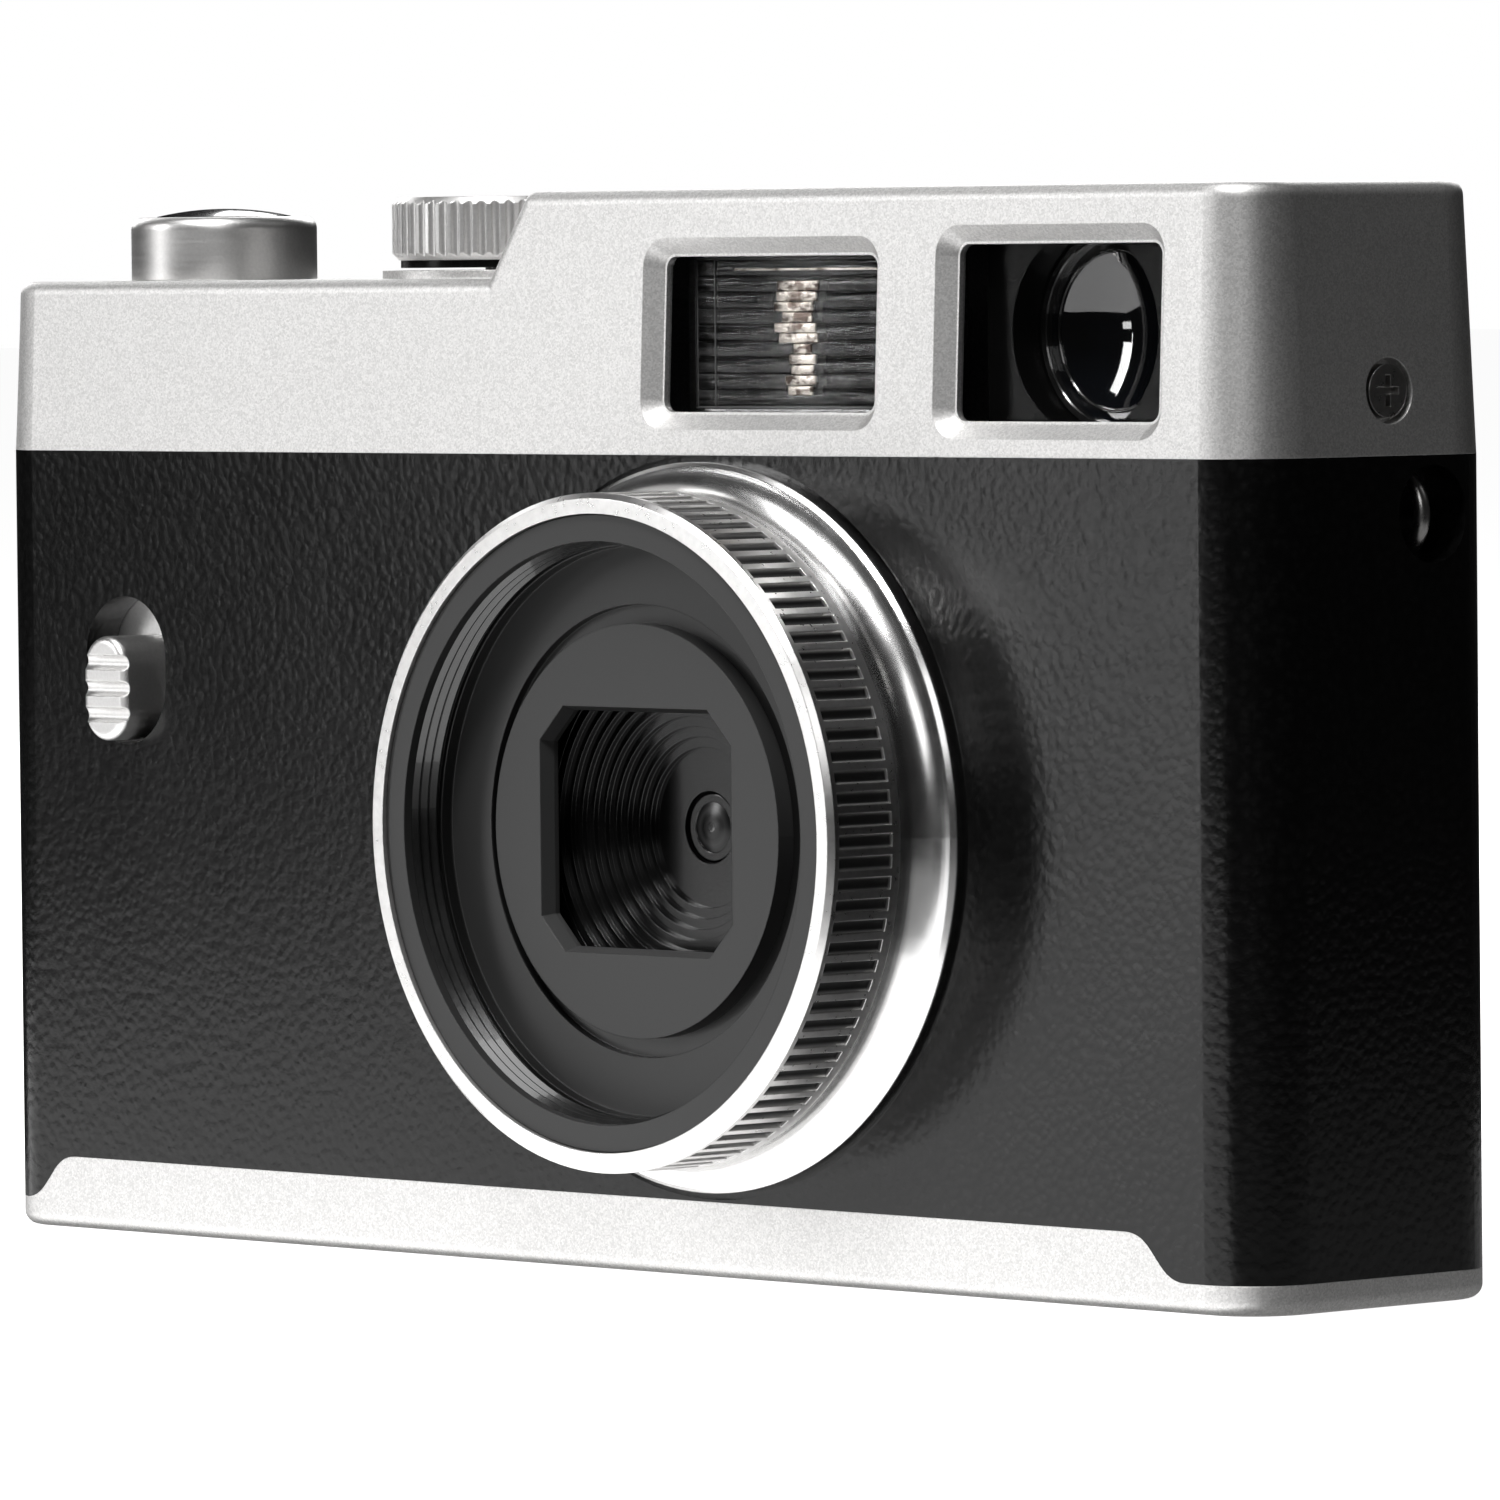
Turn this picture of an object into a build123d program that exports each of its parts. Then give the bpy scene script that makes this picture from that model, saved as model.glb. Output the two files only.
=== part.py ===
from build123d import *
from math import cos, pi, radians, sin, sqrt, tan
import os

# Compact viewfinder camera, in millimetres. +Z is up, the lens looks along -Y, and +X is the side
# that carries the viewfinder. The origin is the mouth of the tripod socket, in the underside.

# ---- case ----
BODY_W = 118.0           # side to side
BODY_D = 22.4            # front face to back face
CORNER_R = 4.5           # upright corners
BASE_SIDE_H = 1.9        # height of the base plate round the sides and back
LIP_H = 4.8              # height of the base plate's front lip
LIP_T = 1.2              # thickness of that lip
LIP_LEFT = 50.9          # where the lip's top edge ends, left of the middle
LIP_RIGHT = 47.7         # and right of the middle
LIP_SWEEP = 5.2          # length of the curve that runs the lip down to the side height
BASE_EDGE_R = 0.9        # rounding of the underside
JOIN_Z = 51.8            # seam between the black body and the top cover
DECK_Z = 63.0            # lower deck, under the shutter button
TOP_Z = 68.5             # raised part, over the flash and viewfinder
STEP_FOOT_X = -9.8       # foot of the slanted step between the two decks
STEP_TOP_X = -6.4        # head of that step
STEP_R = 0.8             # small hollow fillet at its foot
COVER_EDGE_R = 0.9       # rounding of the top cover's upper edges
DRAFT = 2.5              # the top cover leans in by this many degrees
SHELL_WALL = 1.8
COVER_WALL = 1.5
SPLIT_Y = 8.0            # seam between front shell and rear cover

HALF_W = BODY_W / 2
HALF_D = BODY_D / 2
FRONT_Y = -HALF_D
BACK_Y = HALF_D
FRONT_INNER_Y = FRONT_Y + SHELL_WALL
BACK_INNER_Y = BACK_Y - SHELL_WALL
SIDE_INNER_X = HALF_W - SHELL_WALL
LEAN = tan(radians(DRAFT))

# ---- clearances ----
RUN = 0.06               # radial clearance of a turning or sliding fit
GAP = 0.15               # gap round a piece that drops into an opening
STOP_GAP = 0.05          # gap left at a stop
SCREW_GAP = 0.15         # radial clearance of a screw in a plain hole
OVER = 1.0               # how far a cutter runs past what it cuts

# ---- chassis and case screws ----
PLATE_Y = 1.6            # front face of the chassis plate
PLATE_T = 1.2
PLATE_BOTTOM = 3.2
PLATE_TOP = JOIN_Z - 0.4
BOARD_T = 1.2
BOARD_SPACER = 0.6       # pads between chassis plate and main board
BOARD_Y = PLATE_Y + PLATE_T + BOARD_SPACER
BOARD_BACK_Y = BOARD_Y + BOARD_T
CASE_SCREW_X = 53.0
CASE_SCREW_LOW_Z = 7.5
CASE_SCREW_HIGH_Z = 40.0
CASE_SCREW_R = 0.95
CASE_SCREW_LEN = 15.0
CASE_BOSS_R = 2.2
SCREW_HEAD_R = 1.65
SCREW_HEAD_H = 1.0
COUNTERBORE_R = 2.03
COUNTERBORE_D = 1.1
CROSS_W = 0.45           # width of a cross recess
CROSS_LEN = 1.9
CROSS_D = 0.5
COVER_SCREW_Y = 1.0
COVER_SCREW_Z = 55.75
COVER_SCREW_LEN = 5.0
EAR_IN_X = 50.5          # inner side of the ears that take the cover screws
EAR_TOP_Z = 59.0
EAR_WEB_H = 3.0          # height of the web between ear and plate
EAR_D = 5.0
BASE_SCREW_XS = (-44.0, -20.0, 20.0, 44.0)
BASE_SCREW_LEN = 6.0
BASE_BOSS_R = 2.6
BASE_BOSS_TOP = 9.0
TRIPOD_R = 2.55          # tapped hole for a quarter-inch tripod screw
TRIPOD_DEPTH = 5.5
BUSH_R = 4.6
BUSH_H = 6.6
TRIPOD_BLOCK_W = 15.0

# ---- lens: radii about its axis, and distances s in front of the body's front face ----
LENS_X = 11.0
LENS_Z = 28.4
FLANGE_R = 23.0
FLANGE_RIM_S = 0.55      # height of the flange's upright edge
FLANGE_TOP_R = 20.95
FLANGE_TOP_S = 3.5
FLANGE_SINK = 0.5        # the flange sits this deep in the front wall
FLANGE_FLOOR = 0.8
FLANGE_EDGE = 0.3        # slope at the head of the upright edge
FLANGE_WAIST = 0.5       # how far the hollow cone stands out at half height
SEAT_GAP = 0.45          # dark gap round the flange
RIM_S = 9.6              # front plane of the silver rim
RIM_R = 21.25
RIM_EDGE = 0.35
RING_BACK_S = 3.7        # where the visible ring starts
SKIRT_BACK_S = 0.75      # where its hidden skirt ends
SKIRT_R = 20.2
BARREL_R = 19.0
BARREL_LIP_R = 19.9      # black front ring inside the rim
BARREL_FRONT_S = 9.3
BARREL_LIP_T = 0.6
THREAD_R = 18.25         # wall of the 37 mm filter thread
THREAD_BACK_S = 6.4      # where the thread ends
THREAD_STOP_R = 17.9     # narrower wall behind the thread
FLOOR_S = 5.5            # floor below the thread
LEDGE_S = 4.9            # ledge that carries the mask
LEDGE_BACK_S = 4.2
MOAT_R = 14.2            # outer edge of the dark moat round the mask
LEDGE_R = 11.2
BARREL_INNER_R = 16.6
WEB_T = 0.7
KNURL_COUNT = 100
KNURL_R = 0.42           # radius of one groove
KNURL_LEN = 4.5
KNURL_DEPTH = 0.36
MASK_R = 13.0
MASK_FRONT_S = 6.2
MASK_W = 17.0
MASK_H = 14.9
MASK_CHAMFER = 2.0
MASK_BEVEL = 0.95
MASK_BEVEL_D = 0.3
CELL_R = 11.8
CELL_WALL = 0.8
CELL_FRONT_S = 3.1
CELL_FLOOR_S = -0.7
CELL_FLOOR_T = 0.6
CELL_TUBE_R = 5.5
CELL_BACK_S = -9.0
CELL_BORE_R = 3.1
SLEEVE_R = 13.0
SLEEVE_BACK_S = -2.5
SLEEVE_FRONT_S = 3.4
BAFFLE_LIP = 0.6         # flat front edge of the baffle, inside the cell's wall
BAFFLE_FRONT_R = CELL_R - CELL_WALL - BAFFLE_LIP
BAFFLE_BACK_R = 4.4
BAFFLE_FLOOR_S = -0.2
BAFFLE_STEPS = 9
APERTURE_R = 2.3
FOCUS_TRAVEL = 1.0       # how far the lens cell moves out
FOCUS_SWEEP = 90.0       # turn of the ring that moves it
PIN_R = 0.6
PIN_TIP_R = 19.75
PIN_S = 2.0              # the pin's place with the cell fully back
GROOVE_R = 19.86
GROOVE_GAP = 0.08
LENS_SCREW_R = 0.8
LENS_SCREW_RING = 14.9
LENS_BOSS_R = 1.5
LENS_BOSS_S = 3.6
LENS_SCREW_LEN = 4.8
LENS_SCREW_COUNT = 3
LENS_SCREW_TURN = 90.0   # angle of the first of them
FRONT_LENS_T = 1.2
LENS_BULGE = 0.4
REAR_LENS_T = 1.0
SPACER_LEN = 3.6

# ---- sensor ----
SENSOR_W = 7.4
SENSOR_H = 5.8
SENSOR_T = 0.9
SENSOR_BOARD = 17.0
SENSOR_BOARD_T = 1.0
MOUNT_SIZE = 11.0
MOUNT_D = 2.4
FILTER_SIZE = 8.0
FILTER_T = 0.4

# ---- flash switch, on the front ----
SWITCH_X = -45.1
SLOT_W = 8.0
SLOT_H = 9.8
SLOT_BOTTOM = 32.4
SLOT_DEPTH = 2.6         # from the front face to the silver slide plate
KNOB_W = 4.2
KNOB_H = 6.9
KNOB_PROUD = 2.0
KNOB_GROOVES = 3
KNOB_GROOVE_R = 0.5
SLOT_END_GAP = 0.3
SLIDE_W = 9.6
SLIDE_H = 13.0
SLIDE_T = 0.8
SWITCH_LEVER_W = 2.0
SWITCH_BODY_W = 8.0
SWITCH_BODY_H = 9.0
SWITCH_BODY_T = 2.6
SWITCH_GAP = 0.4

# ---- shutter release ----
SHUTTER_X = -47.6
COLLAR_R = 6.2
COLLAR_TOP = 67.2
COLLAR_EDGE = 0.8
BUTTON_R = 4.45
BUTTON_TOP = 67.75
BUTTON_DOME = 0.5
BUTTON_SKIRT_Z = 64.1
BUTTON_SKIRT_T = 0.75
BUTTON_CAP_Z = 65.5
STEM_R = 1.3
STEM_BOTTOM = 56.5
SHUTTER_TRAVEL = 0.9
CLIP_R = 2.3
CLIP_T = 0.5
SPRING_R = 2.5
SPRING_WIRE_R = 0.2
SPRING_TURNS = 3.5

# ---- dial ----
DIAL_X = -19.4
DIAL_R = 7.55
DIAL_BOTTOM = 64.2
DIAL_TOP = 68.3
DIAL_TEETH = 52
DIAL_TOOTH_R = 0.3
DIAL_TOOTH_SINK = 0.2    # how deep a groove cuts into the rim
DIAL_EDGE = 0.45
DIAL_DISH_R = 5.9
DIAL_DISH_D = 0.25
DIAL_SEAT_R = 8.2
DIAL_SEAT_H = 0.55
DIAL_SKIRT_R = 7.0
DIAL_SHAFT_R = 1.5
DIAL_SHAFT_BOTTOM = 54.6

# ---- boards and switches under the deck ----
TOP_BOARD_LEFT = -50.3
TOP_BOARD_RIGHT = -8.0
TOP_BOARD_D = 15.0
TOP_BOARD_Z = 53.0
TOP_BOARD_T = 1.0
TOP_BOARD_TOP = TOP_BOARD_Z + TOP_BOARD_T
TACT_SIZE = 4.4
TACT_H = 1.2
TACT_PLUNGER_R = 0.8
ROTARY_SIZE = 9.0
ROTARY_H = 2.4

# ---- windows in the top cover, heights counted up the leaning wall from the seam ----
WINDOW_BEVEL = 1.15
WINDOW_BEVEL_D = 1.0
WINDOW_BEVEL_ANGLE = 45.0
WINDOW_CORNER = 1.9
PANE_T = 1.0
PANE_LAP = 0.9           # how far a pane reaches behind the wall
PANE_SINK = 0.3          # the pane's face stays this far behind the bevel's foot
FLASH_LEFT, FLASH_RIGHT = 5.0, 26.45
FLASH_LOW, FLASH_HIGH = 1.6, 13.7
FINDER_LEFT, FINDER_RIGHT = 31.45, 51.3
FINDER_LOW, FINDER_HIGH = 1.1, 14.3
FLASH_X = (FLASH_LEFT + FLASH_RIGHT) / 2
FINDER_X = (FINDER_LEFT + FINDER_RIGHT) / 2
FINDER_Z = JOIN_Z + (FINDER_LOW + FINDER_HIGH) / 2
FLASH_Z = JOIN_Z + (FLASH_LOW + FLASH_HIGH) / 2
REFLECTOR_FRONT_Y = -8.1
REFLECTOR_W = 18.6
REFLECTOR_H = 10.8
REFLECTOR_D = 6.6
REFLECTOR_WALL = 0.6
TUBE_R = 1.4
TUBE_LEN = 21.0
TUBE_Y = -4.2
CAPACITOR_X = 45.5
CAPACITOR_Y = -3.6
CAPACITOR_R = 4.4
CAPACITOR_LOW, CAPACITOR_HIGH = 12.0, 43.0
FINDER_TUBE_W = 17.0
FINDER_TUBE_H = 13.6
FINDER_TUBE_FRONT = -7.6
FINDER_TUBE_BACK = 8.6
FINDER_STEP_Y = -2.6     # where the wide front bore ends
OBJECTIVE_R = 6.3
OBJECTIVE_T = 2.2
OBJECTIVE_HOLLOW_R = 11.0
EYEPIECE_R = 4.4
EYEPIECE_T = 1.6
EYE_FRAME_W = 14.0
EYE_FRAME_H = 11.0
EYE_FRAME_T = 0.7
EYE_FRAME_CORNER = 3.0
EYE_NECK_R = 4.8

# ---- electronics in the body ----
BOARD_EDGE_GAP = 0.8     # from the board's end to the left wall
MAIN_BOARD_LEFT, MAIN_BOARD_RIGHT = BOARD_EDGE_GAP - SIDE_INNER_X, 34.0
MAIN_BOARD_LOW, MAIN_BOARD_HIGH = 11.0, 49.0
FLASH_BOARD_LEFT, FLASH_BOARD_RIGHT = 35.5, 50.0
BATTERY_LEFT, BATTERY_RIGHT = -46.0, 4.0
BATTERY_LOW, BATTERY_HIGH = 5.5, 38.5
BATTERY_T = 4.2
BATTERY_CORNER = 1.4
DISPLAY_X = 12.0
DISPLAY_Z = 43.2
DISPLAY_W = 17.0
DISPLAY_H = 9.0
DISPLAY_T = 3.4
WINDOW_W = 15.0
WINDOW_H = 7.0
WINDOW_T = 1.0

# ---- port door, on the left side ----
DOOR_LOW, DOOR_HIGH = 12.5, 37.0
DOOR_FRONT_Y = -3.4
DOOR_HINGE_Y = 4.6
DOOR_T = 1.6
HINGE_R = 0.4
HINGE_TAIL = 2.6         # how far the pin reaches into the wall past each end of the door
NAIL_NOTCH = 1.2
USB_LOW, USB_HIGH = 14.0, 23.0
USB_LEN = 7.3
USB_H = 3.2
USB_WALL = 0.35
CARD_LOW, CARD_HIGH = 24.6, 36.2
CARD_SOCKET_LEN = 14.6
CARD_SOCKET_H = 1.6
CARD_W = 11.0
CARD_LEN = 15.0
CARD_T = 0.8

# ---- strap lug, on the right side ----
LUG_Y = 4.6
LUG_Z = 48.2
LUG_R = 3.0
LUG_DEPTH = 2.8
LUG_WALL = 0.9
LUG_BAR_R = 0.5
LUG_BAR_SINK = 0.4       # the bar's crown stays this far below the side face


def front_plane(y, x=0.0, z=0.0):
    """A plane that faces forwards: u is +X, v is +Z, and a positive extrusion goes along -Y."""
    return Plane(origin=(x, y, z), x_dir=(1, 0, 0), z_dir=(0, -1, 0))


def side_plane(x, y=0.0, z=0.0):
    """A plane that faces right: u is +Y, v is +Z, and a positive extrusion goes along +X."""
    return Plane(origin=(x, y, z), x_dir=(0, 1, 0), z_dir=(1, 0, 0))


def flat_plane(z, x=0.0, y=0.0):
    """A level plane, with a positive extrusion upwards."""
    return Plane(origin=(x, y, z), x_dir=(1, 0, 0), z_dir=(0, 0, 1))


def lens_plane(s):
    """A forward-facing plane centred on the lens axis, s in front of the body's face."""
    return front_plane(FRONT_Y - s, LENS_X, LENS_Z)


def cylinder(plane, radius, length, hole=0.0, mode=Mode.ADD):
    """A round bar, or a tube when it has a hole, standing on the plane."""
    with BuildSketch(plane) as outline:
        Circle(radius)
        if hole:
            Circle(hole, mode=Mode.SUBTRACT)
    extrude(outline.sketch, amount=length, mode=mode)


def block(plane, low, high, length, corner=0.0, mode=Mode.ADD):
    """A block standing on the plane, between two opposite corners of its outline."""
    centre = ((low[0] + high[0]) / 2, (low[1] + high[1]) / 2)
    with BuildSketch(plane) as outline:
        with Locations(centre):
            if corner:
                RectangleRounded(high[0] - low[0], high[1] - low[1], corner)
            else:
                Rectangle(high[0] - low[0], high[1] - low[1])
    extrude(outline.sketch, amount=length, mode=mode)


def lens_revolve(points, mode=Mode.ADD):
    """A turned piece about the lens axis, from (radius, s) points."""
    section = Plane(origin=(LENS_X, FRONT_Y, LENS_Z), x_dir=(1, 0, 0), z_dir=(0, 0, -1))
    with BuildSketch(section) as profile:
        with BuildLine():
            Polyline(*points, close=True)
        make_face()
    revolve(profile.sketch, axis=Axis((LENS_X, FRONT_Y, LENS_Z), (0, -1, 0)), mode=mode)


def machine_screw(plane, head_r, head_h, shank_r, shank_len):
    """A pan-headed cross-recess screw: the plane is the seat, and its normal leaves the head."""
    cylinder(plane, head_r, head_h)
    cylinder(plane, shank_r, -shank_len)
    with BuildSketch(plane.offset(head_h)) as cross:
        Rectangle(CROSS_LEN, CROSS_W)
        Rectangle(CROSS_W, CROSS_LEN)
    extrude(cross.sketch, amount=-CROSS_D, mode=Mode.SUBTRACT)


def save(piece, name):
    """Label a finished piece and write it as the node of that name."""
    piece.part.label = name
    export_step(piece.part, f"parts/{name}.step")


os.makedirs("parts", exist_ok=True)

COVER_FRONT = Plane(origin=(0, FRONT_Y, JOIN_Z), x_dir=(1, 0, 0),
                    z_dir=(0, -cos(radians(DRAFT)), sin(radians(DRAFT))))
COVER_BACK = Plane(origin=(0, BACK_Y, JOIN_Z), x_dir=(-1, 0, 0),
                   z_dir=(0, cos(radians(DRAFT)), sin(radians(DRAFT))))
CASE_SCREW_SPOTS = [(x, z) for x in (-CASE_SCREW_X, CASE_SCREW_X)
                    for z in (CASE_SCREW_LOW_Z, CASE_SCREW_HIGH_Z)]
COVER_SIDE_X = HALF_W - (COVER_SCREW_Z - JOIN_Z) * LEAN   # the leaning side wall at screw height

# ---- base plate: shallow tray with a front lip whose ends sweep down ----
with BuildSketch(front_plane(FRONT_Y + LIP_T)) as lip_outline:
    with BuildLine():
        Spline((-LIP_LEFT, LIP_H), (-LIP_LEFT - LIP_SWEEP, BASE_SIDE_H), tangents=((-1, 0), (-1, 0)))
        Line((-LIP_LEFT - LIP_SWEEP, BASE_SIDE_H), (LIP_RIGHT + LIP_SWEEP, BASE_SIDE_H))
        Spline((LIP_RIGHT + LIP_SWEEP, BASE_SIDE_H), (LIP_RIGHT, LIP_H), tangents=((-1, 0), (-1, 0)))
        Line((LIP_RIGHT, LIP_H), (-LIP_LEFT, LIP_H))
    make_face()

with BuildPart() as base_plate:
    with BuildSketch(flat_plane(0)):
        RectangleRounded(BODY_W, BODY_D, CORNER_R)
    extrude(amount=BASE_SIDE_H)
    fillet(base_plate.faces().sort_by(Axis.Z)[0].edges(), BASE_EDGE_R)
    extrude(lip_outline.sketch, amount=LIP_T)
    for x in BASE_SCREW_XS:
        cylinder(flat_plane(-OVER, x), COUNTERBORE_R, OVER + COUNTERBORE_D, mode=Mode.SUBTRACT)
        cylinder(flat_plane(0, x), CASE_SCREW_R + SCREW_GAP, BASE_SIDE_H + OVER, mode=Mode.SUBTRACT)
    cylinder(flat_plane(-OVER), BUSH_R, BASE_SIDE_H + 2 * OVER, mode=Mode.SUBTRACT)
save(base_plate, "base_plate")

# ---- front shell: front and sides in one, open at the back, top and bottom ----
with BuildPart() as front_shell:
    with BuildSketch(flat_plane(BASE_SIDE_H)):
        RectangleRounded(BODY_W, BODY_D, CORNER_R)
        RectangleRounded(BODY_W - 2 * SHELL_WALL, BODY_D - 2 * SHELL_WALL, CORNER_R - SHELL_WALL,
                         mode=Mode.SUBTRACT)
    extrude(amount=JOIN_Z - BASE_SIDE_H)
    split(bisect_by=front_plane(SPLIT_Y), keep=Keep.TOP)
    for x, z in CASE_SCREW_SPOTS:
        cylinder(front_plane(PLATE_Y, x, z), CASE_BOSS_R, PLATE_Y - FRONT_INNER_Y)
        cylinder(front_plane(PLATE_Y, x, z), CASE_SCREW_R, PLATE_Y - FRONT_INNER_Y - WEB_T,
                 mode=Mode.SUBTRACT)
    # the lip of the base plate lies in a rebate of the front wall
    extrude(lip_outline.sketch, amount=LIP_T, mode=Mode.SUBTRACT)
    # seat of the lens flange, and the hole for the lens sleeve
    cylinder(lens_plane(-FLANGE_SINK), FLANGE_R + SEAT_GAP, FLANGE_SINK + OVER, mode=Mode.SUBTRACT)
    cylinder(lens_plane(OVER), SLEEVE_R + GAP, -SHELL_WALL - 2 * OVER, mode=Mode.SUBTRACT)
    with BuildSketch(lens_plane(-SHELL_WALL - OVER)):
        with PolarLocations(LENS_SCREW_RING, LENS_SCREW_COUNT, start_angle=LENS_SCREW_TURN):
            Circle(LENS_SCREW_R + SCREW_GAP)
    extrude(amount=SHELL_WALL + 2 * OVER, mode=Mode.SUBTRACT)
    # frame and slot of the flash switch
    block(front_plane(FRONT_Y + SLOT_DEPTH, SWITCH_X),
          (-SLOT_W / 2 - SHELL_WALL / 2, SLOT_BOTTOM - SHELL_WALL),
          (SLOT_W / 2 + SHELL_WALL / 2, SLOT_BOTTOM + SLOT_H + SHELL_WALL), SLOT_DEPTH - WEB_T)
    with BuildSketch(front_plane(FRONT_Y + SLOT_DEPTH + OVER, SWITCH_X, SLOT_BOTTOM + SLOT_H / 2)):
        SlotOverall(SLOT_H, SLOT_W, rotation=90)
    extrude(amount=SLOT_DEPTH + 2 * OVER, mode=Mode.SUBTRACT)
    # opening for the port door, and the holes for its hinge pin
    hinge_x = -HALF_W + DOOR_T / 2
    block(side_plane(-HALF_W - OVER), (DOOR_FRONT_Y - GAP, DOOR_LOW - GAP),
          (DOOR_HINGE_Y + DOOR_T / 2 + GAP, DOOR_HIGH + GAP), SHELL_WALL + 2 * OVER,
          mode=Mode.SUBTRACT)
    cylinder(flat_plane(DOOR_LOW - HINGE_TAIL, hinge_x, DOOR_HINGE_Y), HINGE_R,
             DOOR_HIGH - DOOR_LOW + 2 * HINGE_TAIL, mode=Mode.SUBTRACT)
    # cup of the strap lug
    with BuildSketch(side_plane(HALF_W - LUG_DEPTH - LUG_WALL)) as cup:
        with Locations((LUG_Y, LUG_Z)):
            Circle(LUG_R + LUG_WALL)
        with Locations((0, JOIN_Z + HALF_W)):
            Rectangle(BODY_W, BODY_W, mode=Mode.SUBTRACT)
        with Locations((SPLIT_Y + HALF_W, 0)):
            Rectangle(BODY_W, 2 * BODY_W, mode=Mode.SUBTRACT)
    extrude(cup.sketch, amount=LUG_DEPTH + LUG_WALL - WEB_T)
    cylinder(side_plane(HALF_W - LUG_DEPTH, LUG_Y, LUG_Z), LUG_R, LUG_DEPTH + OVER,
             mode=Mode.SUBTRACT)
save(front_shell, "front_shell")

# ---- rear cover: shallow tray with four screw posts and the counter window ----
with BuildPart() as rear_cover:
    with BuildSketch(flat_plane(BASE_SIDE_H)):
        RectangleRounded(BODY_W, BODY_D, CORNER_R)
        RectangleRounded(BODY_W - 2 * SHELL_WALL, BODY_D - 2 * SHELL_WALL, CORNER_R - SHELL_WALL,
                         mode=Mode.SUBTRACT)
    extrude(amount=JOIN_Z - BASE_SIDE_H)
    split(bisect_by=front_plane(SPLIT_Y), keep=Keep.BOTTOM)
    for x, z in CASE_SCREW_SPOTS:
        post = front_plane(BACK_INNER_Y, x, z)
        cylinder(post, CASE_BOSS_R, BACK_INNER_Y - PLATE_Y - PLATE_T)
        cylinder(front_plane(BACK_Y + OVER, x, z), COUNTERBORE_R, OVER + COUNTERBORE_D,
                 mode=Mode.SUBTRACT)
        cylinder(front_plane(BACK_Y, x, z), CASE_SCREW_R + SCREW_GAP, BODY_D, mode=Mode.SUBTRACT)
    block(front_plane(BACK_Y + OVER, DISPLAY_X, DISPLAY_Z), (-WINDOW_W / 2, -WINDOW_H / 2),
          (WINDOW_W / 2, WINDOW_H / 2), SHELL_WALL + 2 * OVER, corner=WINDOW_T,
          mode=Mode.SUBTRACT)
save(rear_cover, "rear_cover")

# ---- top cover: stepped, leaning shell with two bevelled windows ----
def step_cut(foot_x, head_x, floor_z):
    """The space over the lower deck, left of a slanted step."""
    slope = (head_x - foot_x) / (TOP_Z - DECK_Z)
    high = TOP_Z + 4 * OVER
    with BuildSketch(front_plane(BODY_D)) as profile:
        with BuildLine():
            Polyline((-BODY_W, floor_z), (foot_x, floor_z), (foot_x + slope * (high - floor_z), high),
                     (-BODY_W, high), close=True)
        make_face()
    extrude(profile.sketch, amount=2 * BODY_D, mode=Mode.SUBTRACT)


with BuildPart() as cover_cavity:
    with BuildSketch(flat_plane(JOIN_Z)):
        RectangleRounded(BODY_W - 2 * COVER_WALL, BODY_D - 2 * COVER_WALL, CORNER_R - COVER_WALL)
    extrude(amount=TOP_Z - COVER_WALL - JOIN_Z, taper=DRAFT)
    step_cut(STEP_FOOT_X + COVER_WALL, STEP_TOP_X + COVER_WALL, DECK_Z - COVER_WALL)

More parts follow.
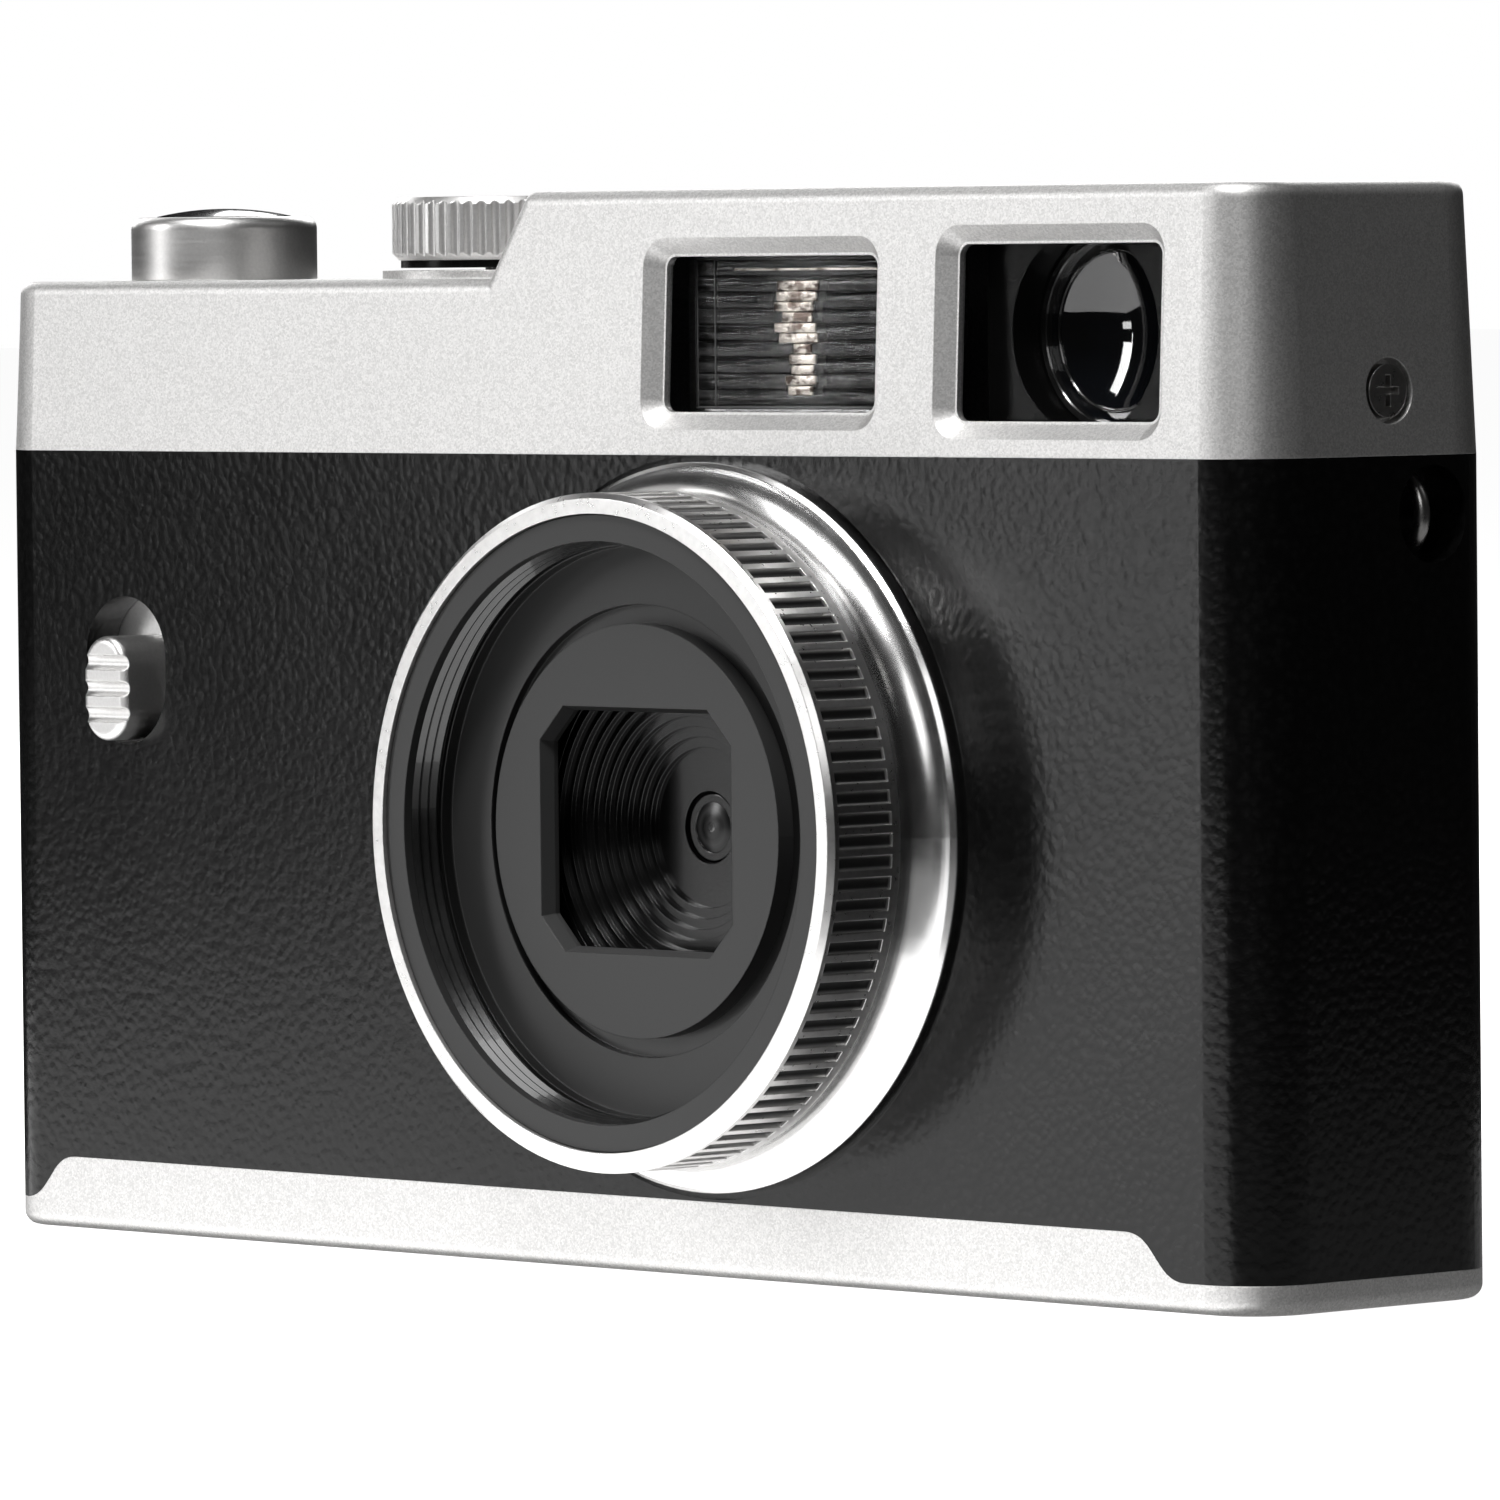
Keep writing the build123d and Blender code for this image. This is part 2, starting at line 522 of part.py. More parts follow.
with BuildPart() as top_cover:
    with BuildSketch(flat_plane(JOIN_Z)):
        RectangleRounded(BODY_W, BODY_D, CORNER_R)
    extrude(amount=TOP_Z - JOIN_Z, taper=DRAFT)
    step_cut(STEP_FOOT_X, STEP_TOP_X, DECK_Z)
    foot = top_cover.edges().filter_by(Axis.Y).group_by(Axis.Z)[-2].sort_by(Axis.X)[-1]
    rims = [edge for edge in top_cover.edges()
            if edge.center().Z > DECK_Z - STOP_GAP and (edge.center() - foot.center()).length > STOP_GAP]
    fillet(rims, COVER_EDGE_R)
    with BuildSketch(flat_plane(DECK_Z, DIAL_X)):
        Circle(DIAL_SEAT_R)
    extrude(amount=DIAL_SEAT_H)
    add(cover_cavity.part, mode=Mode.SUBTRACT)
    for left, right, low, high in ((FLASH_LEFT, FLASH_RIGHT, FLASH_LOW, FLASH_HIGH),
                                   (FINDER_LEFT, FINDER_RIGHT, FINDER_LOW, FINDER_HIGH)):
        with BuildSketch(COVER_FRONT):
            with Locations(((left + right) / 2, (low + high) / 2)):
                RectangleRounded(right - left, high - low, WINDOW_CORNER)
        extrude(amount=-WINDOW_BEVEL_D, taper=WINDOW_BEVEL_ANGLE, mode=Mode.SUBTRACT)
        block(COVER_FRONT, (left + WINDOW_BEVEL, low + WINDOW_BEVEL),
              (right - WINDOW_BEVEL, high - WINDOW_BEVEL), -COVER_WALL - OVER,
              corner=WINDOW_CORNER - WINDOW_BEVEL, mode=Mode.SUBTRACT)
    cylinder(front_plane(BACK_Y + OVER, FINDER_X, FINDER_Z), EYE_NECK_R, COVER_WALL + 3 * OVER,
             mode=Mode.SUBTRACT)
    cylinder(flat_plane(DECK_Z - COVER_WALL - OVER, SHUTTER_X), STEM_R + RUN,
             COVER_WALL + 2 * OVER, mode=Mode.SUBTRACT)
    cylinder(flat_plane(DECK_Z - COVER_WALL - OVER, DIAL_X), DIAL_SHAFT_R + RUN,
             COVER_WALL + DIAL_SEAT_H + 2 * OVER, mode=Mode.SUBTRACT)
    for side in (-1, 1):
        face = side_plane(side * COVER_SIDE_X, COVER_SCREW_Y, COVER_SCREW_Z)
        cylinder(face, COUNTERBORE_R, side * OVER, mode=Mode.SUBTRACT)
        cylinder(face, COUNTERBORE_R, -side * COUNTERBORE_D, mode=Mode.SUBTRACT)
        cylinder(face, CASE_SCREW_R + SCREW_GAP, -side * (COVER_WALL + OVER), mode=Mode.SUBTRACT)
save(top_cover, "top_cover")

# ---- chassis: plate across the middle with ears, bosses and pads ----
with BuildPart() as chassis:
    block(front_plane(PLATE_Y + PLATE_T), (-SIDE_INNER_X + GAP, PLATE_BOTTOM),
          (SIDE_INNER_X - GAP, PLATE_TOP), PLATE_T)
    for x in BASE_SCREW_XS:
        cylinder(flat_plane(BASE_SIDE_H, x), BASE_BOSS_R, BASE_BOSS_TOP - BASE_SIDE_H)
    block(flat_plane(BASE_SIDE_H), (-TRIPOD_BLOCK_W / 2, -BUSH_R - WEB_T),
          (TRIPOD_BLOCK_W / 2, BUSH_R), BASE_BOSS_TOP - BASE_SIDE_H)
    cylinder(flat_plane(0), BUSH_R, BUSH_H, mode=Mode.SUBTRACT)
    for side in (-1, 1):
        low_x, high_x = sorted((side * EAR_IN_X, side * (COVER_SIDE_X - COVER_WALL - GAP)))
        block(flat_plane(JOIN_Z + GAP), (low_x, COVER_SCREW_Y - EAR_D / 2),
              (high_x, COVER_SCREW_Y + EAR_D / 2), EAR_TOP_Z - JOIN_Z - GAP)
        web_low, web_high = sorted((side * EAR_IN_X, side * (HALF_W - LUG_DEPTH - 2 * LUG_WALL)))
        block(flat_plane(PLATE_TOP - OVER), (web_low, PLATE_Y), (web_high, PLATE_Y + PLATE_T),
              EAR_WEB_H)
        cylinder(side_plane(side * COVER_SIDE_X, COVER_SCREW_Y, COVER_SCREW_Z), CASE_SCREW_R,
                 -side * (COUNTERBORE_D + COVER_SCREW_LEN), mode=Mode.SUBTRACT)
    # room for the strap lug's cup
    block(front_plane(BODY_D), (HALF_W - LUG_DEPTH - 2 * LUG_WALL, LUG_Z - LUG_R - 2 * LUG_WALL),
          (BODY_W, JOIN_Z), 2 * BODY_D, mode=Mode.SUBTRACT)
    # room for the sockets behind the port door
    block(front_plane(PLATE_Y + PLATE_T + OVER), (-BODY_W, DOOR_LOW),
          (-SIDE_INNER_X + CARD_SOCKET_LEN + OVER, DOOR_HIGH), PLATE_T + 2 * OVER,
          mode=Mode.SUBTRACT)
    # window behind the sensor board
    block(front_plane(PLATE_Y + PLATE_T + OVER, LENS_X, LENS_Z),
          (-MOUNT_SIZE / 2, -MOUNT_SIZE / 2), (MOUNT_SIZE / 2, MOUNT_SIZE / 2),
          PLATE_T + 2 * OVER, mode=Mode.SUBTRACT)
    for x, z in CASE_SCREW_SPOTS:
        cylinder(front_plane(PLATE_Y + PLATE_T + OVER, x, z), CASE_SCREW_R + SCREW_GAP,
                 PLATE_T + 2 * OVER, mode=Mode.SUBTRACT)
    for x in BASE_SCREW_XS:
        cylinder(flat_plane(0, x), CASE_SCREW_R, COUNTERBORE_D + BASE_SCREW_LEN,
                 mode=Mode.SUBTRACT)
    # pads under the main board, the flash board and the top board
    for x in (MAIN_BOARD_RIGHT - 2 * CASE_BOSS_R, BATTERY_LEFT, FLASH_BOARD_LEFT + CASE_BOSS_R,
              FLASH_BOARD_RIGHT - CASE_BOSS_R):
        for z in (MAIN_BOARD_LOW, MAIN_BOARD_HIGH):
            inward = CASE_BOSS_R if z == MAIN_BOARD_LOW else -CASE_BOSS_R
            cylinder(front_plane(BOARD_Y, x, z + inward), CASE_BOSS_R, BOARD_SPACER)
    for x in (TOP_BOARD_LEFT + CASE_BOSS_R, TOP_BOARD_RIGHT - CASE_BOSS_R):
        block(flat_plane(PLATE_TOP), (x - CASE_BOSS_R, PLATE_Y), (x + CASE_BOSS_R, PLATE_Y + PLATE_T),
              TOP_BOARD_Z - PLATE_TOP)
    # bracket behind the flash reflector, and the shelf under the viewfinder
    block(front_plane(PLATE_Y + PLATE_T), (FLASH_X - CAPACITOR_R, PLATE_TOP - OVER),
          (FLASH_X + CAPACITOR_R, FLASH_Z), PLATE_T)
    block(front_plane(PLATE_Y), (FLASH_X - CAPACITOR_R, FLASH_Z - CAPACITOR_R),
          (FLASH_X + CAPACITOR_R, FLASH_Z), PLATE_Y - REFLECTOR_FRONT_Y - REFLECTOR_D)
    block(flat_plane(PLATE_TOP - OVER), (FINDER_X - CAPACITOR_R, PLATE_Y),
          (FINDER_X + CAPACITOR_R, PLATE_Y + PLATE_T),
          FINDER_Z - FINDER_TUBE_H / 2 - PLATE_TOP + OVER)
save(chassis, "chassis")

# ---- screws and tripod bush ----
with BuildPart() as case_screws:
    for x, z in CASE_SCREW_SPOTS:
        seat = Plane(origin=(x, BACK_Y - COUNTERBORE_D, z), x_dir=(1, 0, 0), z_dir=(0, 1, 0))
        machine_screw(seat, SCREW_HEAD_R, SCREW_HEAD_H, CASE_SCREW_R, CASE_SCREW_LEN)
save(case_screws, "case_screws")

with BuildPart() as cover_screws:
    for side in (-1, 1):
        seat = Plane(origin=(side * (COVER_SIDE_X - COUNTERBORE_D), COVER_SCREW_Y, COVER_SCREW_Z),
                     x_dir=(0, 1, 0), z_dir=(side, 0, 0))
        machine_screw(seat, SCREW_HEAD_R, SCREW_HEAD_H, CASE_SCREW_R, COVER_SCREW_LEN)
save(cover_screws, "cover_screws")

with BuildPart() as base_screws:
    for x in BASE_SCREW_XS:
        seat = Plane(origin=(x, 0, COUNTERBORE_D), x_dir=(1, 0, 0), z_dir=(0, 0, -1))
        machine_screw(seat, SCREW_HEAD_R, SCREW_HEAD_H, CASE_SCREW_R, BASE_SCREW_LEN)
save(base_screws, "base_screws")

with BuildPart() as tripod_bush:
    cylinder(flat_plane(0), BUSH_R, BUSH_H)
    cylinder(flat_plane(0), TRIPOD_R, TRIPOD_DEPTH, mode=Mode.SUBTRACT)
save(tripod_bush, "tripod_bush")

# ---- strap lug: arched bar bridging the cup ----
with BuildPart() as strap_lug:
    bar_end_x = HALF_W - LUG_DEPTH
    bar_crown_x = HALF_W - LUG_BAR_SINK - LUG_BAR_R
    with BuildLine():
        ThreePointArc((bar_end_x, LUG_Y, LUG_Z - LUG_R + LUG_BAR_R), (bar_crown_x, LUG_Y, LUG_Z),
                      (bar_end_x, LUG_Y, LUG_Z + LUG_R - LUG_BAR_R))
    bar_path = strap_lug.pending_edges[0]
    with BuildSketch(Plane(origin=bar_path @ 0, z_dir=bar_path % 0)):
        Circle(LUG_BAR_R)
    sweep()
    split(bisect_by=side_plane(bar_end_x), keep=Keep.TOP)
save(strap_lug, "strap_lug")

# ---- port door, its pin, and the sockets behind it ----
with BuildPart() as port_door:
    block(side_plane(-HALF_W), (DOOR_FRONT_Y, DOOR_LOW), (DOOR_HINGE_Y, DOOR_HIGH), DOOR_T)
    cylinder(flat_plane(DOOR_LOW, -HALF_W + DOOR_T / 2, DOOR_HINGE_Y), DOOR_T / 2,
             DOOR_HIGH - DOOR_LOW)
    cylinder(flat_plane(DOOR_LOW - OVER, -HALF_W + DOOR_T / 2, DOOR_HINGE_Y), HINGE_R + RUN,
             DOOR_HIGH - DOOR_LOW + 2 * OVER, mode=Mode.SUBTRACT)
    cylinder(side_plane(-HALF_W, DOOR_FRONT_Y, (DOOR_LOW + DOOR_HIGH) / 2), NAIL_NOTCH, DOOR_T / 2,
             mode=Mode.SUBTRACT)
save(port_door, "port_door")

with BuildPart() as port_hinge_pin:
    cylinder(flat_plane(DOOR_LOW - HINGE_TAIL, -HALF_W + DOOR_T / 2, DOOR_HINGE_Y), HINGE_R,
             DOOR_HIGH - DOOR_LOW + 2 * HINGE_TAIL)
save(port_hinge_pin, "port_hinge_pin")

socket_x = -SIDE_INNER_X
with BuildPart() as usb_socket:
    block(side_plane(socket_x), (BOARD_Y - USB_H, USB_LOW), (BOARD_Y, USB_HIGH), USB_LEN,
          corner=USB_H / 2 - USB_WALL)
    block(side_plane(socket_x), (BOARD_Y - USB_H + USB_WALL, USB_LOW + USB_WALL),
          (BOARD_Y - USB_WALL, USB_HIGH - USB_WALL), USB_LEN - USB_WALL,
          corner=USB_H / 2 - 2 * USB_WALL, mode=Mode.SUBTRACT)
    block(side_plane(socket_x + USB_WALL), (BOARD_Y - USB_H / 2 - USB_WALL, USB_LOW + 2 * OVER),
          (BOARD_Y - USB_H / 2 + USB_WALL, USB_HIGH - 2 * OVER), USB_LEN - USB_WALL)
save(usb_socket, "usb_socket")

card_mid = (CARD_LOW + CARD_HIGH) / 2
with BuildPart() as card_socket:
    block(side_plane(socket_x), (BOARD_Y - CARD_SOCKET_H, CARD_LOW), (BOARD_Y, CARD_HIGH),
          CARD_SOCKET_LEN)
    block(side_plane(socket_x), (BOARD_Y - CARD_SOCKET_H / 2 - CARD_T / 2, card_mid - CARD_W / 2),
          (BOARD_Y - CARD_SOCKET_H / 2 + CARD_T / 2, card_mid + CARD_W / 2), CARD_SOCKET_LEN - WEB_T,
          mode=Mode.SUBTRACT)
save(card_socket, "card_socket")

with BuildPart() as memory_card:
    block(side_plane(socket_x + CARD_SOCKET_LEN - WEB_T),
          (BOARD_Y - CARD_SOCKET_H / 2 - CARD_T / 2, card_mid - CARD_W / 2),
          (BOARD_Y - CARD_SOCKET_H / 2 + CARD_T / 2, card_mid + CARD_W / 2),
          -CARD_SOCKET_LEN + WEB_T)
save(memory_card, "memory_card")

# ---- lens mount: flange, barrel, mask and screws ----
with BuildPart() as lens_flange:
    section = Plane(origin=(LENS_X, FRONT_Y, LENS_Z), x_dir=(1, 0, 0), z_dir=(0, 0, -1))
    skirt_bore = SKIRT_R + RUN
    floor_top = -FLANGE_SINK + FLANGE_FLOOR
    with BuildSketch(section):
        with BuildLine():
            Polyline((FLANGE_TOP_R, FLANGE_TOP_S), (skirt_bore, FLANGE_TOP_S), (skirt_bore, floor_top),
                     (SLEEVE_R + GAP, floor_top), (SLEEVE_R + GAP, -FLANGE_SINK),
                     (FLANGE_R, -FLANGE_SINK), (FLANGE_R, FLANGE_RIM_S),
                     (FLANGE_R - FLANGE_EDGE, FLANGE_RIM_S + FLANGE_EDGE))
            ThreePointArc((FLANGE_R - FLANGE_EDGE, FLANGE_RIM_S + FLANGE_EDGE),
                          (FLANGE_TOP_R + FLANGE_WAIST, FLANGE_TOP_S / 2), (FLANGE_TOP_R, FLANGE_TOP_S))
        make_face()
    revolve(axis=Axis((LENS_X, FRONT_Y, LENS_Z), (0, -1, 0)))
    with BuildSketch(lens_plane(-FLANGE_SINK - OVER)):
        with PolarLocations(LENS_SCREW_RING, LENS_SCREW_COUNT, start_angle=LENS_SCREW_TURN):
            Circle(LENS_SCREW_R + SCREW_GAP)
    extrude(amount=FLANGE_FLOOR + 2 * OVER, mode=Mode.SUBTRACT)
save(lens_flange, "lens_flange")

with BuildPart() as lens_barrel:
    web_s = -FLANGE_SINK + FLANGE_FLOOR
    lens_revolve(((CELL_R + RUN, SLEEVE_BACK_S), (SLEEVE_R, SLEEVE_BACK_S), (SLEEVE_R, web_s),
                  (BARREL_R, web_s), (BARREL_R, BARREL_FRONT_S - BARREL_LIP_T),
                  (BARREL_LIP_R, BARREL_FRONT_S - BARREL_LIP_T), (BARREL_LIP_R, BARREL_FRONT_S),
                  (THREAD_R, BARREL_FRONT_S), (THREAD_R, THREAD_BACK_S),
                  (THREAD_STOP_R, THREAD_BACK_S), (THREAD_STOP_R, FLOOR_S), (MOAT_R, FLOOR_S),
                  (MOAT_R, LEDGE_S), (LEDGE_R, LEDGE_S), (LEDGE_R, LEDGE_BACK_S),
                  (BARREL_INNER_R, LEDGE_BACK_S), (BARREL_INNER_R, web_s + WEB_T),
                  (SLEEVE_R, web_s + WEB_T), (SLEEVE_R, SLEEVE_FRONT_S),
                  (CELL_R + RUN, SLEEVE_FRONT_S)))
    with BuildSketch(lens_plane(web_s)):
        with PolarLocations(LENS_SCREW_RING, LENS_SCREW_COUNT, start_angle=LENS_SCREW_TURN):
            Circle(LENS_BOSS_R)
    extrude(amount=LENS_BOSS_S - web_s)
    with BuildSketch(lens_plane(web_s)):
        with PolarLocations(LENS_SCREW_RING, LENS_SCREW_COUNT, start_angle=LENS_SCREW_TURN):
            Circle(LENS_SCREW_R)
    extrude(amount=LENS_SCREW_LEN - SHELL_WALL - web_s, mode=Mode.SUBTRACT)
    # straight slot that lets the focus pin move along the axis
    slot_back = PIN_S - PIN_R - GAP
    block(lens_plane(slot_back), (CELL_R - OVER, -PIN_R - RUN), (BARREL_R + OVER, PIN_R + RUN),
          FOCUS_TRAVEL + 2 * (PIN_R + GAP), mode=Mode.SUBTRACT)
save(lens_barrel, "lens_barrel")

with BuildPart() as lens_mask:
    cylinder(lens_plane(LEDGE_S), MASK_R, MASK_FRONT_S - LEDGE_S)
    with BuildSketch(lens_plane(LEDGE_S)) as opening:
        Rectangle(MASK_W, MASK_H)
        chamfer(opening.vertices(), MASK_CHAMFER)
    extrude(amount=MASK_FRONT_S - LEDGE_S, mode=Mode.SUBTRACT)
    rim = lens_mask.faces().sort_by(Axis.Y)[0].inner_wires()[0].edges()
    chamfer(rim, MASK_BEVEL_D, MASK_BEVEL, reference=lens_mask.faces().sort_by(Axis.Y)[0])
save(lens_mask, "lens_mask")

with BuildPart() as lens_screws:
    for index in range(LENS_SCREW_COUNT):
        turn = LENS_SCREW_TURN + index * 360 / LENS_SCREW_COUNT
        seat = Plane(origin=(LENS_X + LENS_SCREW_RING * cos(radians(turn)), FRONT_INNER_Y,
                             LENS_Z + LENS_SCREW_RING * sin(radians(turn))),
                     x_dir=(1, 0, 0), z_dir=(0, 1, 0))
        machine_screw(seat, LENS_BOSS_R, SCREW_HEAD_H, LENS_SCREW_R, LENS_SCREW_LEN)
save(lens_screws, "lens_screws")

# ---- focus ring: turns on the barrel and drives the lens cell by an oblique groove ----
with BuildPart(lens_plane(0)) as focus_ring:
    bore = BARREL_R + RUN
    lip_s = BARREL_FRONT_S - BARREL_LIP_T - STOP_GAP
    lens_revolve(((bore, SKIRT_BACK_S), (SKIRT_R, SKIRT_BACK_S), (SKIRT_R, RING_BACK_S),
                  (RIM_R, RING_BACK_S), (RIM_R, RIM_S - RIM_EDGE), (RIM_R - RIM_EDGE, RIM_S),
                  (BARREL_LIP_R + RUN, RIM_S), (BARREL_LIP_R + RUN, lip_s), (bore, lip_s)))
    groove_s = PIN_S + FOCUS_TRAVEL / 2
    tilt = FOCUS_TRAVEL * sin(radians(45)) / (PIN_TIP_R - PIN_R / 2)
    lean = tilt / sqrt(2)
    with BuildSketch(Plane(origin=(LENS_X, FRONT_Y - groove_s, LENS_Z), z_dir=(lean, -1, lean))):
        Circle(GROOVE_R)
    extrude(amount=PIN_R + GROOVE_GAP, both=True, mode=Mode.SUBTRACT)
    knurl_s = RING_BACK_S + (RIM_S - RING_BACK_S) / 2
    with PolarLocations(RIM_R + KNURL_R - KNURL_DEPTH, KNURL_COUNT):
        with Locations((0, 0, knurl_s)):
            Cylinder(KNURL_R, KNURL_LEN, mode=Mode.SUBTRACT)
save(focus_ring, "focus_ring")

# ---- lens cell: slides in the barrel with its baffle, lenses and pin ----
with BuildPart() as lens_cell:
    cell_bore = CELL_R - CELL_WALL
    lens_revolve(((cell_bore, CELL_FRONT_S), (CELL_R, CELL_FRONT_S),
                  (CELL_R, CELL_FLOOR_S - CELL_FLOOR_T), (CELL_TUBE_R, CELL_FLOOR_S - CELL_FLOOR_T),
                  (CELL_TUBE_R, CELL_BACK_S), (CELL_BORE_R, CELL_BACK_S), (CELL_BORE_R, CELL_FLOOR_S),
                  (cell_bore, CELL_FLOOR_S)))
    cylinder(side_plane(LENS_X + cell_bore - OVER, FRONT_Y - PIN_S, LENS_Z), PIN_R,
             CELL_WALL + 2 * OVER, mode=Mode.SUBTRACT)
save(lens_cell, "lens_cell")

with BuildPart() as focus_pin:
    cylinder(side_plane(LENS_X + cell_bore, FRONT_Y - PIN_S, LENS_Z), PIN_R,
             PIN_TIP_R - cell_bore)
save(focus_pin, "focus_pin")

stairs = []
for step in range(BAFFLE_STEPS):
    stair_r = BAFFLE_BACK_R + (BAFFLE_FRONT_R - BAFFLE_BACK_R) * (step + 1) / BAFFLE_STEPS
    rise = (CELL_FRONT_S - BAFFLE_FLOOR_S) / BAFFLE_STEPS
    stairs.append((stair_r, BAFFLE_FLOOR_S + rise * step))
    stairs.append((stair_r, BAFFLE_FLOOR_S + rise * (step + 1)))
with BuildPart() as lens_baffle:
    lens_revolve([(APERTURE_R, CELL_FLOOR_S), (APERTURE_R, BAFFLE_FLOOR_S)] + stairs
                 + [(cell_bore - RUN, CELL_FRONT_S), (cell_bore - RUN, CELL_FLOOR_S)])
save(lens_baffle, "lens_baffle")


def lens_disc(back_s, thickness, bulge):
    """A lens element about the lens axis: domed both sides inside the aperture, with a flat rim."""
    dome_r = (APERTURE_R ** 2 + bulge ** 2) / (2 * bulge)
    section = Plane(origin=(LENS_X, FRONT_Y, LENS_Z), x_dir=(1, 0, 0), z_dir=(0, 0, -1))
    with BuildSketch(section) as profile:
        with BuildLine():
            RadiusArc((APERTURE_R, back_s + thickness), (0, back_s + thickness + bulge), -dome_r)
            Line((0, back_s + thickness + bulge), (0, back_s - bulge))
            RadiusArc((0, back_s - bulge), (APERTURE_R, back_s), -dome_r)
            Polyline((APERTURE_R, back_s), (ELEMENT_R, back_s), (ELEMENT_R, back_s + thickness),
                     (APERTURE_R, back_s + thickness))
        make_face()
    revolve(profile.sketch, axis=Axis((LENS_X, FRONT_Y, LENS_Z), (0, -1, 0)))


ELEMENT_R = CELL_BORE_R - RUN
front_lens_s = CELL_FLOOR_S - FRONT_LENS_T
spacer_s = front_lens_s - SPACER_LEN
with BuildPart() as front_lens:
    lens_disc(front_lens_s, FRONT_LENS_T, LENS_BULGE)
save(front_lens, "front_lens")

with BuildPart() as lens_spacer:
    cylinder(lens_plane(spacer_s), ELEMENT_R, SPACER_LEN, hole=APERTURE_R)
save(lens_spacer, "lens_spacer")

with BuildPart() as rear_lens:
    lens_disc(spacer_s - REAR_LENS_T, REAR_LENS_T, LENS_BULGE)
save(rear_lens, "rear_lens")

# ---- sensor stack on the chassis ----
sensor_board_y = PLATE_Y
sensor_face_y = sensor_board_y - SENSOR_BOARD_T
with BuildPart() as sensor_board:
    half = SENSOR_BOARD / 2
    block(front_plane(sensor_board_y, LENS_X, LENS_Z), (-half, -half), (half, half), SENSOR_BOARD_T)
save(sensor_board, "sensor_board")

with BuildPart() as image_sensor:
    block(front_plane(sensor_face_y, LENS_X, LENS_Z), (-SENSOR_W / 2, -SENSOR_H / 2),
          (SENSOR_W / 2, SENSOR_H / 2), SENSOR_T)
save(image_sensor, "image_sensor")

with BuildPart() as sensor_mount:
    half = MOUNT_SIZE / 2
    seat = front_plane(sensor_face_y, LENS_X, LENS_Z)
    block(seat, (-half, -half), (half, half), MOUNT_D)
    inner = half - OVER
    block(seat, (-inner, -inner), (inner, inner), MOUNT_D - WEB_T, mode=Mode.SUBTRACT)
    block(seat, (-SENSOR_W / 2, -SENSOR_H / 2), (SENSOR_W / 2, SENSOR_H / 2), MOUNT_D,
          mode=Mode.SUBTRACT)
save(sensor_mount, "sensor_mount")

with BuildPart() as infrared_filter:
    half = FILTER_SIZE / 2
    block(front_plane(sensor_face_y - MOUNT_D + WEB_T + FILTER_T, LENS_X, LENS_Z), (-half, -half),
          (half, half), FILTER_T)
save(infrared_filter, "infrared_filter")

# ---- flash switch: ribbed knob, the slider it drives, and the switch itself ----
slide_y = FRONT_Y + SLOT_DEPTH + STOP_GAP
knob_bottom = SLOT_BOTTOM + SLOT_END_GAP
knob_mid = knob_bottom + KNOB_H / 2
switch_travel = SLOT_H - KNOB_H - 2 * SLOT_END_GAP
with BuildPart() as flash_switch_knob:
    block(front_plane(slide_y + SLIDE_T, SWITCH_X, knob_mid), (-SLIDE_W / 2, -SLIDE_H / 2),
          (SLIDE_W / 2, SLIDE_H / 2), SLIDE_T, corner=OVER)
    with BuildSketch(front_plane(slide_y, SWITCH_X, knob_mid)):
        SlotOverall(KNOB_H, KNOB_W, rotation=90)
    extrude(amount=slide_y - FRONT_Y + KNOB_PROUD)
    face_y = FRONT_Y - KNOB_PROUD
    fillet(flash_switch_knob.faces().sort_by(Axis.Y)[0].edges(), KNOB_GROOVE_R)
    for row in range(KNOB_GROOVES):
        z = knob_mid + (row - (KNOB_GROOVES - 1) / 2) * KNOB_H / (KNOB_GROOVES + 1)
        cylinder(side_plane(SWITCH_X - KNOB_W, face_y, z), KNOB_GROOVE_R, 2 * KNOB_W,
                 mode=Mode.SUBTRACT)
    block(front_plane(slide_y + SLIDE_T + OVER, SWITCH_X, knob_mid),
          (-SWITCH_LEVER_W, -SWITCH_LEVER_W), (SWITCH_LEVER_W, SWITCH_LEVER_W), OVER)
    block(front_plane(slide_y + SLIDE_T + OVER, SWITCH_X, knob_mid),
          (-SWITCH_LEVER_W / 2, -SWITCH_LEVER_W / 2), (SWITCH_LEVER_W / 2, SWITCH_LEVER_W / 2), OVER,
          mode=Mode.SUBTRACT)
save(flash_switch_knob, "flash_switch_knob")

with BuildPart() as switch_slider:
    block(front_plane(slide_y + SLIDE_T + OVER + SWITCH_GAP + WEB_T, SWITCH_X, knob_mid),
          (-SWITCH_LEVER_W / 2, -SWITCH_LEVER_W / 2), (SWITCH_LEVER_W / 2, SWITCH_LEVER_W / 2),
          OVER + SWITCH_GAP + WEB_T)
save(switch_slider, "switch_slider")

